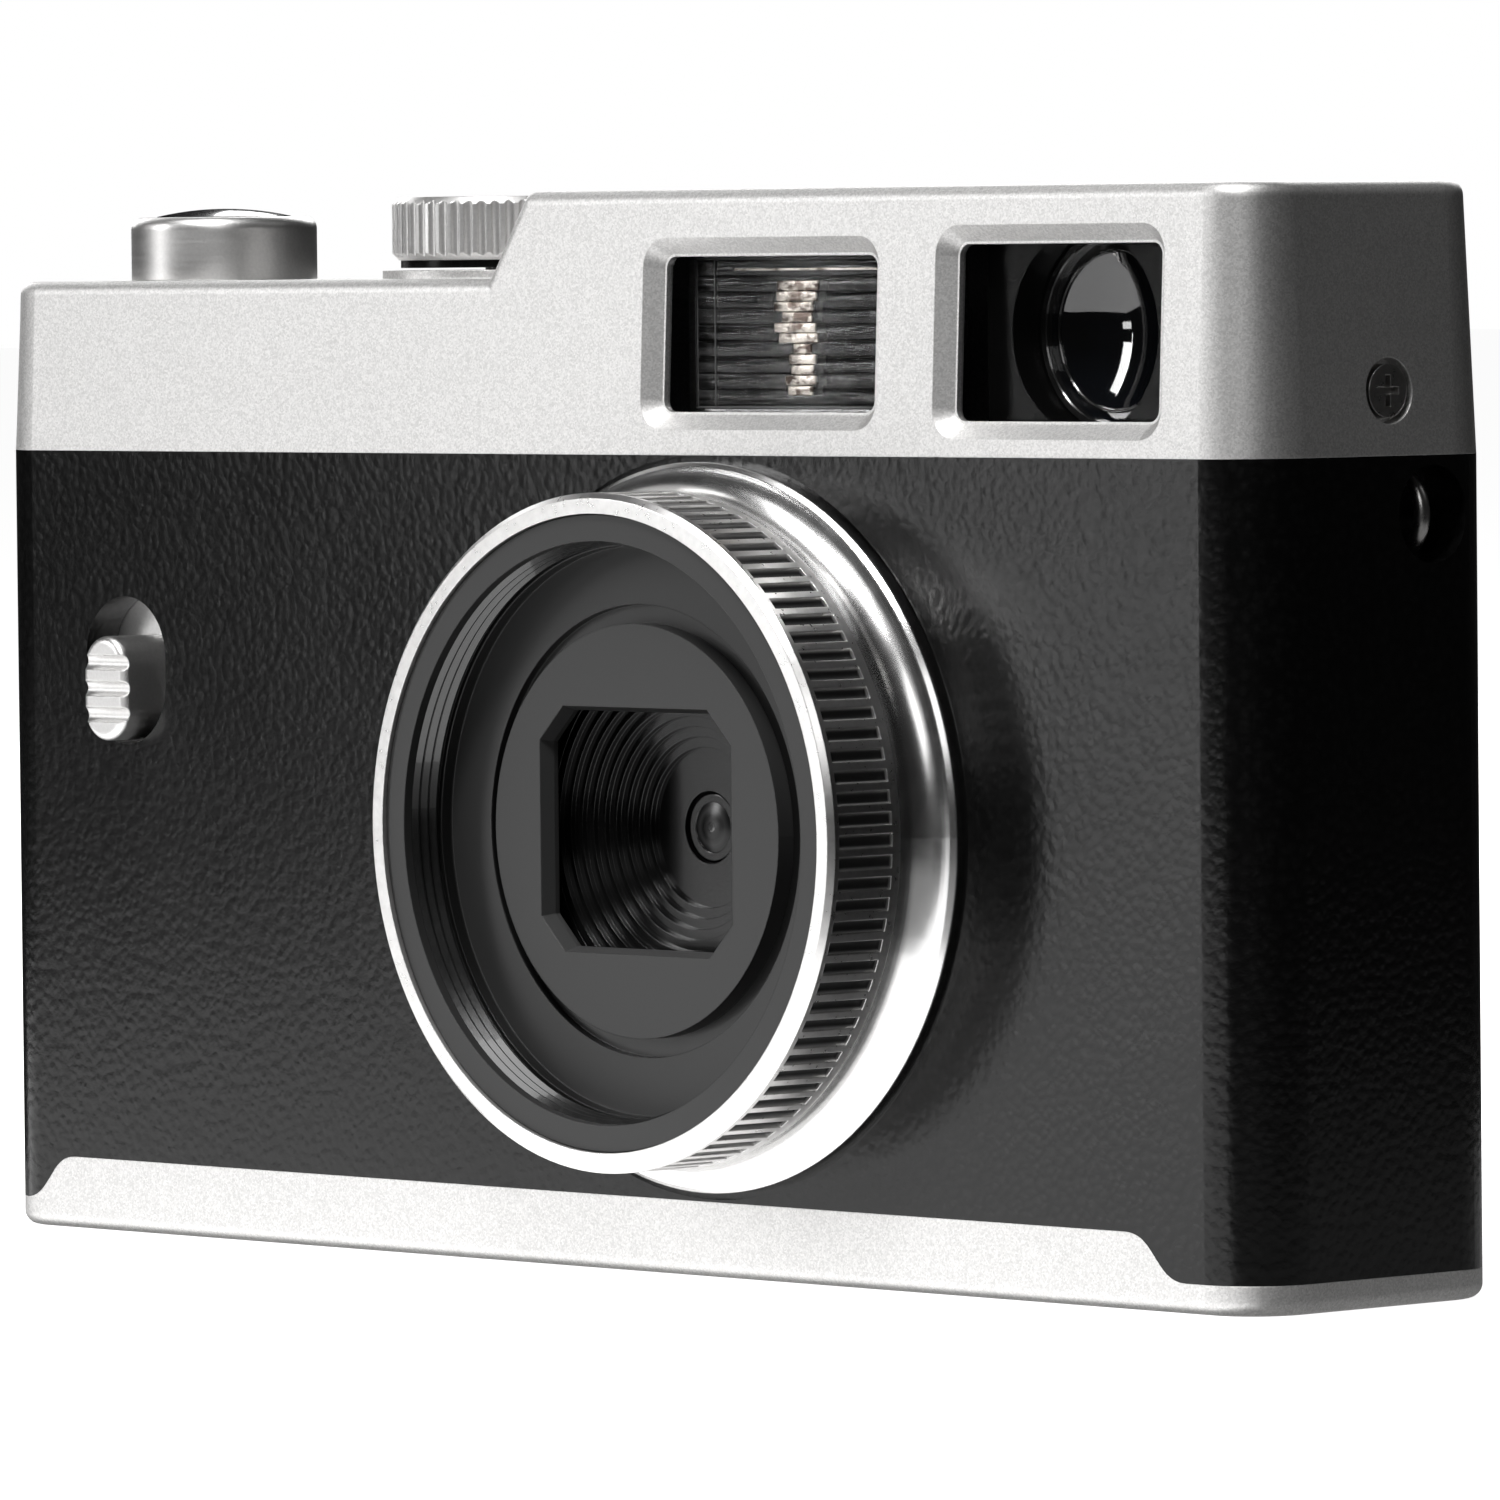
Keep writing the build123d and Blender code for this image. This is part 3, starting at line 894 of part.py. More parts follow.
switch_front_y = slide_y + SLIDE_T + OVER + SWITCH_GAP
with BuildPart() as slide_switch:
    body_mid = knob_mid + switch_travel / 2
    seat = front_plane(switch_front_y + SWITCH_BODY_T, SWITCH_X, body_mid)
    block(seat, (-SWITCH_BODY_W / 2, -SWITCH_BODY_H / 2), (SWITCH_BODY_W / 2, SWITCH_BODY_H / 2),
          SWITCH_BODY_T)
    reach = (SWITCH_LEVER_W + switch_travel) / 2 + GAP
    block(front_plane(switch_front_y + WEB_T + GAP, SWITCH_X, body_mid),
          (-SWITCH_LEVER_W / 2 - GAP, -reach), (SWITCH_LEVER_W / 2 + GAP, reach), WEB_T + GAP,
          mode=Mode.SUBTRACT)
    # legs down to the chassis plate
    for side in (-1, 1):
        leg = side * (SWITCH_BODY_W / 2 - WEB_T)
        block(front_plane(PLATE_Y, SWITCH_X, body_mid), (leg - WEB_T, -WEB_T), (leg + WEB_T, WEB_T),
              PLATE_Y - switch_front_y - SWITCH_BODY_T)
save(slide_switch, "slide_switch")

# ---- shutter release ----
with BuildPart() as shutter_collar:
    cylinder(flat_plane(DECK_Z, SHUTTER_X), COLLAR_R, COLLAR_TOP - DECK_Z)
    fillet(shutter_collar.faces().sort_by(Axis.Z)[-1].edges(), COLLAR_EDGE)
    cylinder(flat_plane(DECK_Z, SHUTTER_X), BUTTON_R + RUN, COLLAR_TOP - DECK_Z, mode=Mode.SUBTRACT)
save(shutter_collar, "shutter_collar")

with BuildPart() as shutter_button:
    with BuildSketch(Plane(origin=(SHUTTER_X, 0, 0), x_dir=(1, 0, 0), z_dir=(0, -1, 0))):
        with BuildLine():
            skirt_in = BUTTON_R - BUTTON_SKIRT_T
            rim_z = BUTTON_TOP - BUTTON_DOME
            Polyline((0, BUTTON_TOP), (0, STEM_BOTTOM), (STEM_R, STEM_BOTTOM), (STEM_R, BUTTON_CAP_Z),
                     (skirt_in, BUTTON_CAP_Z), (skirt_in, BUTTON_SKIRT_Z), (BUTTON_R, BUTTON_SKIRT_Z),
                     (BUTTON_R, rim_z))
            RadiusArc((BUTTON_R, rim_z), (0, BUTTON_TOP),
                      -(BUTTON_R ** 2 + BUTTON_DOME ** 2) / (2 * BUTTON_DOME))
        make_face()
    revolve(axis=Axis((SHUTTER_X, 0, 0), (0, 0, 1)))
    clip_top = DECK_Z - COVER_WALL - STOP_GAP
    cylinder(flat_plane(clip_top - CLIP_T, SHUTTER_X), STEM_R + OVER, CLIP_T,
             hole=STEM_R - SPRING_WIRE_R, mode=Mode.SUBTRACT)
save(shutter_button, "shutter_button")

with BuildPart() as shutter_clip:
    cylinder(flat_plane(clip_top - CLIP_T, SHUTTER_X), CLIP_R, CLIP_T, hole=STEM_R - SPRING_WIRE_R)
save(shutter_clip, "shutter_clip")

with BuildPart() as shutter_spring:
    spring_low = DECK_Z + SPRING_WIRE_R + STOP_GAP
    spring_high = BUTTON_CAP_Z - SPRING_WIRE_R - STOP_GAP
    with BuildLine(flat_plane(spring_low, SHUTTER_X)):
        coil = Helix(pitch=(spring_high - spring_low) / SPRING_TURNS, height=spring_high - spring_low,
                     radius=SPRING_R)
    wire = shutter_spring.pending_edges[0]
    with BuildSketch(Plane(origin=wire @ 0, z_dir=wire % 0)):
        Circle(SPRING_WIRE_R)
    sweep(is_frenet=True)
save(shutter_spring, "shutter_spring")

# ---- dial: knurled wheel, dark skirt and shaft ----
with BuildPart(flat_plane(0, DIAL_X)) as mode_dial:
    cylinder(flat_plane(DIAL_BOTTOM, DIAL_X), DIAL_R, DIAL_TOP - DIAL_BOTTOM)
    chamfer(mode_dial.faces().sort_by(Axis.Z)[-1].edges(), DIAL_EDGE)
    chamfer(mode_dial.faces().sort_by(Axis.Z)[0].edges(), DIAL_EDGE)
    with PolarLocations(DIAL_R + DIAL_TOOTH_R - DIAL_TOOTH_SINK, DIAL_TEETH):
        with Locations((0, 0, (DIAL_BOTTOM + DIAL_TOP) / 2)):
            Cylinder(DIAL_TOOTH_R, DIAL_TOP - DIAL_BOTTOM + OVER, mode=Mode.SUBTRACT)
    cylinder(flat_plane(DIAL_TOP - DIAL_DISH_D, DIAL_X), DIAL_DISH_R, OVER, mode=Mode.SUBTRACT)
    cylinder(flat_plane(DIAL_BOTTOM, DIAL_X), DIAL_SHAFT_R, OVER, mode=Mode.SUBTRACT)
save(mode_dial, "mode_dial")

with BuildPart() as dial_skirt:
    skirt_z = DECK_Z + DIAL_SEAT_H + GAP
    cylinder(flat_plane(skirt_z, DIAL_X), DIAL_SKIRT_R, DIAL_BOTTOM - skirt_z, hole=DIAL_SHAFT_R)
save(dial_skirt, "dial_skirt")

with BuildPart() as dial_shaft:
    cylinder(flat_plane(DIAL_SHAFT_BOTTOM, DIAL_X), DIAL_SHAFT_R, DIAL_BOTTOM + OVER - DIAL_SHAFT_BOTTOM)
save(dial_shaft, "dial_shaft")

# ---- top board with the shutter switch and the dial's rotary switch ----
with BuildPart() as top_board:
    block(flat_plane(TOP_BOARD_Z), (TOP_BOARD_LEFT, -TOP_BOARD_D / 2),
          (TOP_BOARD_RIGHT, TOP_BOARD_D / 2), TOP_BOARD_T)
save(top_board, "top_board")

with BuildPart() as shutter_switch:
    half = TACT_SIZE / 2
    block(flat_plane(TOP_BOARD_TOP, SHUTTER_X), (-half, -half), (half, half), TACT_H)
    plunger_top = STEM_BOTTOM - SHUTTER_TRAVEL - STOP_GAP
    cylinder(flat_plane(TOP_BOARD_TOP + TACT_H, SHUTTER_X), TACT_PLUNGER_R,
             plunger_top - TOP_BOARD_TOP - TACT_H)
save(shutter_switch, "shutter_switch")

with BuildPart() as rotary_switch:
    half = ROTARY_SIZE / 2
    block(flat_plane(TOP_BOARD_TOP, DIAL_X), (-half, -half), (half, half), ROTARY_H, corner=OVER)
    cylinder(flat_plane(DIAL_SHAFT_BOTTOM - STOP_GAP, DIAL_X), DIAL_SHAFT_R + RUN, ROTARY_H,
             mode=Mode.SUBTRACT)
save(rotary_switch, "rotary_switch")

# ---- window panes, held behind the leaning front wall ----
pane_face = -WINDOW_BEVEL_D - PANE_SINK
for pane_name, left, right, low, high in (
        ("flash_window", FLASH_LEFT, FLASH_RIGHT, FLASH_LOW, FLASH_HIGH),
        ("viewfinder_window", FINDER_LEFT, FINDER_RIGHT, FINDER_LOW, FINDER_HIGH)):
    with BuildPart() as pane:
        inset = WINDOW_BEVEL + STOP_GAP
        block(COVER_FRONT.offset(-COVER_WALL), (left + inset - PANE_LAP, low + inset - PANE_LAP),
              (right - inset + PANE_LAP, high - inset + PANE_LAP), -PANE_T, corner=WINDOW_CORNER)
        block(COVER_FRONT.offset(-COVER_WALL), (left + inset, low + inset),
              (right - inset, high - inset), pane_face + COVER_WALL,
              corner=WINDOW_CORNER - WINDOW_BEVEL)
    save(pane, pane_name)

# ---- flash: reflector trough, tube across it, and the capacitor ----
with BuildPart() as flash_reflector:
    back_y = REFLECTOR_FRONT_Y + REFLECTOR_D
    half_w = REFLECTOR_W / 2
    half_h = REFLECTOR_H / 2
    block(front_plane(back_y, FLASH_X, FLASH_Z), (-half_w, -half_h), (half_w, half_h), REFLECTOR_D)
    with BuildSketch(side_plane(FLASH_X - half_w + REFLECTOR_WALL, 0, FLASH_Z)) as trough:
        with BuildLine():
            mouth = half_h - REFLECTOR_WALL
            ThreePointArc((REFLECTOR_FRONT_Y, -mouth), (back_y - REFLECTOR_WALL, 0),
                          (REFLECTOR_FRONT_Y, mouth))
            Line((REFLECTOR_FRONT_Y, mouth), (REFLECTOR_FRONT_Y, -mouth))
        make_face()
    extrude(trough.sketch, amount=REFLECTOR_W - 2 * REFLECTOR_WALL, mode=Mode.SUBTRACT)
    cylinder(side_plane(FLASH_X - REFLECTOR_W, TUBE_Y, FLASH_Z), TUBE_R, 2 * REFLECTOR_W,
             mode=Mode.SUBTRACT)
save(flash_reflector, "flash_reflector")

with BuildPart() as flash_tube:
    cylinder(side_plane(FLASH_X - TUBE_LEN / 2, TUBE_Y, FLASH_Z), TUBE_R, TUBE_LEN)
save(flash_tube, "flash_tube")

with BuildPart() as flash_capacitor:
    cylinder(flat_plane(CAPACITOR_LOW, CAPACITOR_X, CAPACITOR_Y), CAPACITOR_R,
             CAPACITOR_HIGH - CAPACITOR_LOW)
    fillet(flash_capacitor.edges(), CROSS_W)
save(flash_capacitor, "flash_capacitor")

# ---- viewfinder: tube, objective, eyepiece and its frame ----
with BuildPart() as viewfinder_tube:
    half_w = FINDER_TUBE_W / 2
    half_h = FINDER_TUBE_H / 2
    tube_len = FINDER_TUBE_BACK - FINDER_TUBE_FRONT
    back = front_plane(FINDER_TUBE_BACK, FINDER_X, FINDER_Z)
    block(back, (-half_w, -half_h), (half_w, half_h), tube_len, corner=OVER)
    cylinder(back, EYEPIECE_R, tube_len, mode=Mode.SUBTRACT)
    cylinder(front_plane(FINDER_STEP_Y, FINDER_X, FINDER_Z), OBJECTIVE_R,
             FINDER_STEP_Y - FINDER_TUBE_FRONT, mode=Mode.SUBTRACT)
save(viewfinder_tube, "viewfinder_tube")

with BuildPart() as viewfinder_objective:
    cylinder(front_plane(FINDER_STEP_Y, FINDER_X, FINDER_Z), OBJECTIVE_R, OBJECTIVE_T)
    with Locations((FINDER_X, FINDER_STEP_Y - OBJECTIVE_T / 2 - OBJECTIVE_HOLLOW_R, FINDER_Z)):
        Sphere(OBJECTIVE_HOLLOW_R, mode=Mode.SUBTRACT)
save(viewfinder_objective, "viewfinder_objective")

with BuildPart() as viewfinder_eyepiece:
    cylinder(front_plane(FINDER_TUBE_BACK, FINDER_X, FINDER_Z), EYEPIECE_R, EYEPIECE_T)
save(viewfinder_eyepiece, "viewfinder_eyepiece")

with BuildPart() as eyepiece_frame:
    frame_v = (FINDER_LOW + FINDER_HIGH) / 2
    block(COVER_BACK, (-FINDER_X - EYE_FRAME_W / 2, frame_v - EYE_FRAME_H / 2),
          (-FINDER_X + EYE_FRAME_W / 2, frame_v + EYE_FRAME_H / 2), EYE_FRAME_T,
          corner=EYE_FRAME_CORNER)
    cylinder(front_plane(BACK_Y, FINDER_X, FINDER_Z), EYE_NECK_R - STOP_GAP,
             BACK_Y - FINDER_TUBE_BACK)
    cylinder(front_plane(BACK_Y + 2 * OVER, FINDER_X, FINDER_Z), EYEPIECE_R - WEB_T, BODY_D / 2,
             mode=Mode.SUBTRACT)
save(eyepiece_frame, "eyepiece_frame")

# ---- boards, battery and counter ----
with BuildPart() as main_board:
    block(front_plane(BOARD_BACK_Y), (MAIN_BOARD_LEFT, MAIN_BOARD_LOW),
          (MAIN_BOARD_RIGHT, MAIN_BOARD_HIGH), BOARD_T)
    for x, z in CASE_SCREW_SPOTS:
        cylinder(front_plane(BOARD_BACK_Y + OVER, x, z), CASE_BOSS_R + GAP, BOARD_T + 2 * OVER,
                 mode=Mode.SUBTRACT)
save(main_board, "main_board")

with BuildPart() as flash_board:
    block(front_plane(BOARD_BACK_Y), (FLASH_BOARD_LEFT, MAIN_BOARD_LOW),
          (FLASH_BOARD_RIGHT, MAIN_BOARD_HIGH), BOARD_T)
save(flash_board, "flash_board")

with BuildPart() as battery:
    block(front_plane(BOARD_BACK_Y + BATTERY_T), (BATTERY_LEFT, BATTERY_LOW),
          (BATTERY_RIGHT, BATTERY_HIGH), BATTERY_T)
    fillet(battery.edges().filter_by(Axis.Z), BATTERY_CORNER)
save(battery, "battery")

with BuildPart() as counter_display:
    block(front_plane(BOARD_BACK_Y + DISPLAY_T, DISPLAY_X, DISPLAY_Z), (-DISPLAY_W / 2, -DISPLAY_H / 2),
          (DISPLAY_W / 2, DISPLAY_H / 2), DISPLAY_T)
save(counter_display, "counter_display")

with BuildPart() as counter_window:
    block(front_plane(BACK_Y - GAP, DISPLAY_X, DISPLAY_Z), (-WINDOW_W / 2, -WINDOW_H / 2),
          (WINDOW_W / 2, WINDOW_H / 2), WINDOW_T, corner=WINDOW_T)
save(counter_window, "counter_window")
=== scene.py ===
from math import cos, pi, radians, sin

import bmesh
import bpy
from mathutils import Matrix, Vector


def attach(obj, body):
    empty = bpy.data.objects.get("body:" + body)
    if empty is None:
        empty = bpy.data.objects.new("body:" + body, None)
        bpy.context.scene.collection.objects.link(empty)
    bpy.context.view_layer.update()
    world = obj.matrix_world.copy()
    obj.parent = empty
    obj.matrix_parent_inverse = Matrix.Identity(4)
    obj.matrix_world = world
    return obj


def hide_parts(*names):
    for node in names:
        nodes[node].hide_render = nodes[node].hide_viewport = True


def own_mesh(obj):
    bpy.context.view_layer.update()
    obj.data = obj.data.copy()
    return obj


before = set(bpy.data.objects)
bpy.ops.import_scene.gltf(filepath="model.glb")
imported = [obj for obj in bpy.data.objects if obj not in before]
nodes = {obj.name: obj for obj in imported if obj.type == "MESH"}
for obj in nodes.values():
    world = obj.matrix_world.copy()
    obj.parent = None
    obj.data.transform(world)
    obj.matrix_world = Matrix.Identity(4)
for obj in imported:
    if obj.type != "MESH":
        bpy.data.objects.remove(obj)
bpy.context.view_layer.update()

# ---- the studio ----
# A long lens looks at the camera's right front corner from a little above the table. The room is dark but
# for soft boxes. The pale table and walls are only seen directly, and two cards only in reflections.
MM = 0.001
VIEW_TURN, VIEW_RISE, VIEW_ROLL = radians(46.665), radians(2.314), radians(-0.572)
VIEW_FROM, VIEW_LENS, FILM_W, NEAREST = (0.5824, -0.5466, 0.0649), 299.2, 36.0, 0.01
view_back = Vector((sin(VIEW_TURN) * cos(VIEW_RISE), -cos(VIEW_TURN) * cos(VIEW_RISE), sin(VIEW_RISE)))
level_right = Vector((cos(VIEW_TURN), sin(VIEW_TURN), 0))
level_up = view_back.cross(level_right)
view_right = level_right * cos(VIEW_ROLL) + level_up * sin(VIEW_ROLL)
view_up = level_up * cos(VIEW_ROLL) - level_right * sin(VIEW_ROLL)
camera = bpy.data.objects.new("camera", bpy.data.cameras.new("camera"))
camera.data.lens = VIEW_LENS
camera.data.sensor_width = FILM_W
camera.data.clip_start = NEAREST
camera.matrix_world = Matrix.Translation(VIEW_FROM) @ Matrix(
    (view_right, view_up, view_back)).transposed().to_4x4()
bpy.context.scene.collection.objects.link(camera)
bpy.context.scene.camera = camera
bpy.context.scene.view_settings.view_transform = "Standard"


class Value:
    """One output socket of a material. Arithmetic on it adds Math nodes to that material."""

    def __init__(self, graph, socket):
        self.graph, self.socket = graph, socket

    def maths(self, operation, *terms):
        return self.graph.add("ShaderNodeMath", {"operation": operation}, dict(enumerate(terms)))

    def __add__(self, other):
        return self.maths("ADD", self, other)

    def __sub__(self, other):
        return self.maths("SUBTRACT", self, other)

    def __rsub__(self, other):
        return self.maths("SUBTRACT", other, self)

    def __mul__(self, other):
        return self.maths("MULTIPLY", self, other)

    def __pow__(self, other):
        return self.maths("POWER", self, other)

    __radd__ = __add__
    __rmul__ = __mul__

    def sine(self):
        return self.maths("SINE", self)

    def within(self, low, high):
        """0 below low, 1 above high, and a smooth rise between them."""
        return self.graph.add("ShaderNodeMapRange", {"interpolation_type": "SMOOTHSTEP"},
                              {"Value": self, "From Min": low, "From Max": high})


class Graph:
    """A new material with one Principled shader, and one method that adds any other node."""

    def __init__(self, name, tree=None, **sockets):
        if tree is None:
            self.material = bpy.data.materials.new(name)
            self.material.use_nodes = True
            tree = self.material.node_tree
            self.shader = tree.nodes["Principled BSDF"]
            self.set(**sockets)
        self.tree = tree

    def set(self, **sockets):
        for name, value in sockets.items():
            self.link(self.shader.inputs[name.replace("_", " ")], value)

    def link(self, socket, value):
        if isinstance(value, Value):
            socket.id_data.links.new(value.socket, socket)
        else:
            socket.default_value = value

    def add(self, kind, settings=None, sockets=None, output=0):
        node = self.tree.nodes.new(kind)
        for name, value in (settings or {}).items():
            if name == "stops":
                while len(node.color_ramp.elements) < len(value):
                    node.color_ramp.elements.new(1)
                for element, (place, colour) in zip(node.color_ramp.elements, value):
                    element.position, element.color = place, colour
            else:
                setattr(node, name, value)
        for name, value in (sockets or {}).items():
            self.link(node.inputs[name], value)
        return Value(self, node.outputs[output])

    def place(self, offset=(0, 0, 0), turn=(0, 0, 0), scale=(1, 1, 1)):
        """Object coordinates, moved by -offset, then turned and scaled."""
        here = self.add("ShaderNodeTexCoord", output=3)
        if offset != (0, 0, 0):
            here = self.add("ShaderNodeVectorMath", {"operation": "SUBTRACT"}, {0: here, 1: offset})
        if turn == (0, 0, 0) and scale == (1, 1, 1):
            return here
        return self.add("ShaderNodeMapping", None, {"Vector": here, "Rotation": turn, "Scale": scale})

    def axes(self, vector):
        """The X, Y and Z values of a vector."""
        first = self.add("ShaderNodeSeparateXYZ", None, {0: vector})
        return [Value(self, socket) for socket in first.socket.node.outputs]

    def noise(self, vector, size, detail=2.0, rough=0.5):
        """Clouds of about that size in metres, from 0 to 1."""
        return self.add("ShaderNodeTexNoise", None, {"Vector": vector, "Scale": 1 / size,
                                                     "Detail": detail, "Roughness": rough})

    def mix(self, amount, first, second):
        """A colour between two colours."""
        return self.add("ShaderNodeMix", {"data_type": "RGBA"}, {0: amount, 6: first, 7: second}, 2)

    def bump(self, height, distance, strength=1.0, under=None):
        """A normal that stands up by distance where height is 1."""
        sockets = {"Height": height, "Distance": distance, "Strength": strength}
        if under is not None:
            sockets["Normal"] = under
        return self.add("ShaderNodeBump", None, sockets)


def grey(level, warm=0.0):
    """A grey of that linear level, a little warmer or cooler."""
    return (level * (1 + warm), level, level * (1 - warm), 1)


def paint(graph, slot, *names):
    """The material on each of those CAD nodes, which stay as they are."""
    for name in names:
        nodes[name].data.materials.clear()
        nodes[name].data.materials.append(graph.material)


CAMERA_MIDDLE = (0.0, 0.0, 0.035)


def soft_box(name, turn, rise, away, width, height, watts, aim=CAMERA_MIDDLE):
    """An area light that faces aim from that bearing and rise in degrees, counted as the view's are."""
    light = bpy.data.objects.new(name, bpy.data.lights.new(name, "AREA"))
    light.data.shape, light.data.size, light.data.size_y = "RECTANGLE", width, height
    light.data.energy = watts
    out = Vector((sin(radians(turn)) * cos(radians(rise)), -cos(radians(turn)) * cos(radians(rise)),
                  sin(radians(rise))))
    light.location = Vector(aim) + out * away
    light.rotation_euler = out.to_track_quat("Z", "Y").to_euler()
    bpy.context.scene.collection.objects.link(light)


LOW_MIDDLE = (0.0, 0.0, 0.022)
soft_box("key_box", -41, 19, 0.75, 0.10, 0.32, 1.3)
soft_box("low_box", -40, 0, 0.75, 0.10, 0.044, 0.10, LOW_MIDDLE)
soft_box("spark_strip", -45.24, 17, 0.88, 0.009, 0.46, 0.2)
soft_box("fill_box", 36, 24, 0.9, 0.3, 0.3, 0.7)
soft_box("glint_box", 15, 56, 0.9, 0.2, 0.2, 5.0)
soft_box("top_box", -20, 75, 0.9, 0.5, 0.5, 3.0)
soft_box("rear_box", 215, 28, 0.9, 0.5, 0.4, 2.6)
soft_box("left_box", -110, 20, 0.9, 0.3, 0.4, 1.5)
soft_box("side_box", 122, 42, 0.8, 0.3, 0.3, 0.1)

room = bpy.data.worlds.new("room")
room.use_nodes = True
bpy.context.scene.world = room
walls = Graph("room", tree=room.node_tree)
seen = walls.add("ShaderNodeLightPath")
ground_light = room.node_tree.nodes["Background"]
walls.link(ground_light.inputs["Color"], walls.mix(seen, grey(0.015), grey(1.0)))



def sheet(name, half_size, middle, glow):
    """A flat square sheet of the studio that gives off a little light of its own."""
    flat = bmesh.new()
    bmesh.ops.create_grid(flat, x_segments=1, y_segments=1, size=half_size, matrix=Matrix.Translation(middle))
    mesh = bpy.data.meshes.new(name)
    flat.to_mesh(mesh)
    flat.free()
    white = Graph(name + "_white", Base_Color=grey(0.95), Roughness=0.9)
    white.set(Emission_Color=grey(1.0), Emission_Strength=glow)
    mesh.materials.append(white.material)
    piece = bpy.data.objects.new(name, mesh)
    bpy.context.scene.collection.objects.link(piece)
    piece.visible_diffuse = False
    return piece


TABLE_HALF, CARD_HALF, TABLE_GLOW = 6.0, 0.15, 0.95
table = sheet("table", TABLE_HALF, (0, 0, 0), TABLE_GLOW)
table.visible_glossy = False
for name, middle, glow in (("under_card", (0.03, -0.01, -0.5 * MM), 0.2),
                           ("front_card", (-0.09, -0.1615, -0.4 * MM), 1.7)):
    card = sheet(name, CARD_HALF, middle, glow)
    card.visible_camera = False
    card.visible_shadow = False

# ---- chassis and the pieces that are closed in ----
# A moulded black frame carries the boards, the cell and the capacitor between the shells. The boards are
# green lacquered laminate with tinned tracks, and the chips are matt moulded resin.
black_plastic = Graph("black_plastic", Roughness=0.5, IOR=1.46)
spot = black_plastic.place()
grain = black_plastic.noise(spot, 0.35 * MM, 3.0)
black_plastic.set(Base_Color=black_plastic.mix(grain, grey(0.008), grey(0.016)),
                  Roughness=0.42 + 0.2 * grain, Normal=black_plastic.bump(grain, 0.012 * MM, 0.6))
paint(black_plastic, "black_plastic", "chassis", "sensor_mount", "switch_slider", "lens_spacer",
      "eyepiece_frame", "port_door")

lacquer = Graph("board_lacquer", Roughness=0.28, Coat_Weight=0.6)
spot = lacquer.place()
tracks = lacquer.add("ShaderNodeTexBrick", {"offset": 0.35},
                     {"Vector": spot, "Scale": 160.0, "Mortar Size": 0.02, "Color1": grey(0.0),
                      "Color2": grey(0.2), "Mortar": grey(1.0)})
lacquer.set(Base_Color=lacquer.mix(tracks, (0.006, 0.05, 0.02, 1), (0.03, 0.14, 0.06, 1)),
            Normal=lacquer.bump(tracks, 0.03 * MM))
paint(lacquer, "board", "main_board", "top_board", "flash_board", "sensor_board")

resin = Graph("chip_resin", Roughness=0.55)
spot = resin.place()
dust = resin.noise(spot, 0.12 * MM, 4.0)
resin.set(Base_Color=resin.mix(dust, grey(0.012), grey(0.03, 0.05)), Normal=resin.bump(dust, 0.006 * MM))
paint(resin, "chip", "image_sensor", "rotary_switch", "counter_display")
paint(resin, "black_gloss", "memory_card", "flash_capacitor")

foil = Graph("cell_foil", Metallic=1.0)
spot = foil.place()
creases = foil.noise(spot, 3.0 * MM, 5.0, 0.6)
foil.set(Base_Color=foil.mix(creases, grey(0.5), grey(0.72)), Roughness=0.25 + 0.3 * creases,
         Normal=foil.bump(creases, 0.1 * MM))
paint(foil, "foil", "battery")

filter_glass = Graph("infrared_glass", Roughness=0.05, Coat_Weight=1.0)
spot = filter_glass.place()
filter_glass.set(Base_Color=filter_glass.mix(filter_glass.noise(spot, 4 * MM), (0.05, 0.2, 0.2, 1),
                                             (0.1, 0.26, 0.2, 1)))
paint(filter_glass, "filter_glass", "infrared_filter")

# ---- black shells ----
# The front shell and the rear cover are pressed metal, covered in black grained cloth. The grain is made of
# rounded pebbles a little over half a millimetre across, with fine creases between them.
leather = Graph("grained_cloth", IOR=1.38)
PEBBLE, PEBBLE_WAVER, GRAIN_DEPTH = 0.62 * MM, 0.35 * MM, 0.034 * MM
spot = leather.place()
waver = leather.add("ShaderNodeTexNoise", None, {"Vector": spot, "Scale": 700.0, "Detail": 2.0}, 1)
drift = leather.add("ShaderNodeVectorMath", {"operation": "MULTIPLY_ADD"},
                    {0: waver, 1: (PEBBLE_WAVER,) * 3, 2: spot})
pebble = leather.add("ShaderNodeTexVoronoi", {"feature": "SMOOTH_F1"},
                     {"Vector": drift, "Scale": 1 / PEBBLE, "Smoothness": 0.55})
crease = leather.noise(drift, 0.28 * MM, 3.0, 0.6)
patch = leather.noise(spot, 9.0 * MM, 2.0)
dome = 1 - pebble * 1.1
height = dome * 0.75 + crease * 0.35
# The colour follows the grain's height: painted shade darkens the creases between the pebbles, and the pebble
# tops are painted lighter.
leather.set(Base_Color=leather.mix(height.within(0.35, 1.0), grey(0.0025), grey(0.007)),
            Roughness=0.16 + 0.08 * crease + 0.04 * patch,
            Normal=leather.bump(height, GRAIN_DEPTH, 0.7))
paint(leather, "black_shell", "front_shell", "rear_cover")

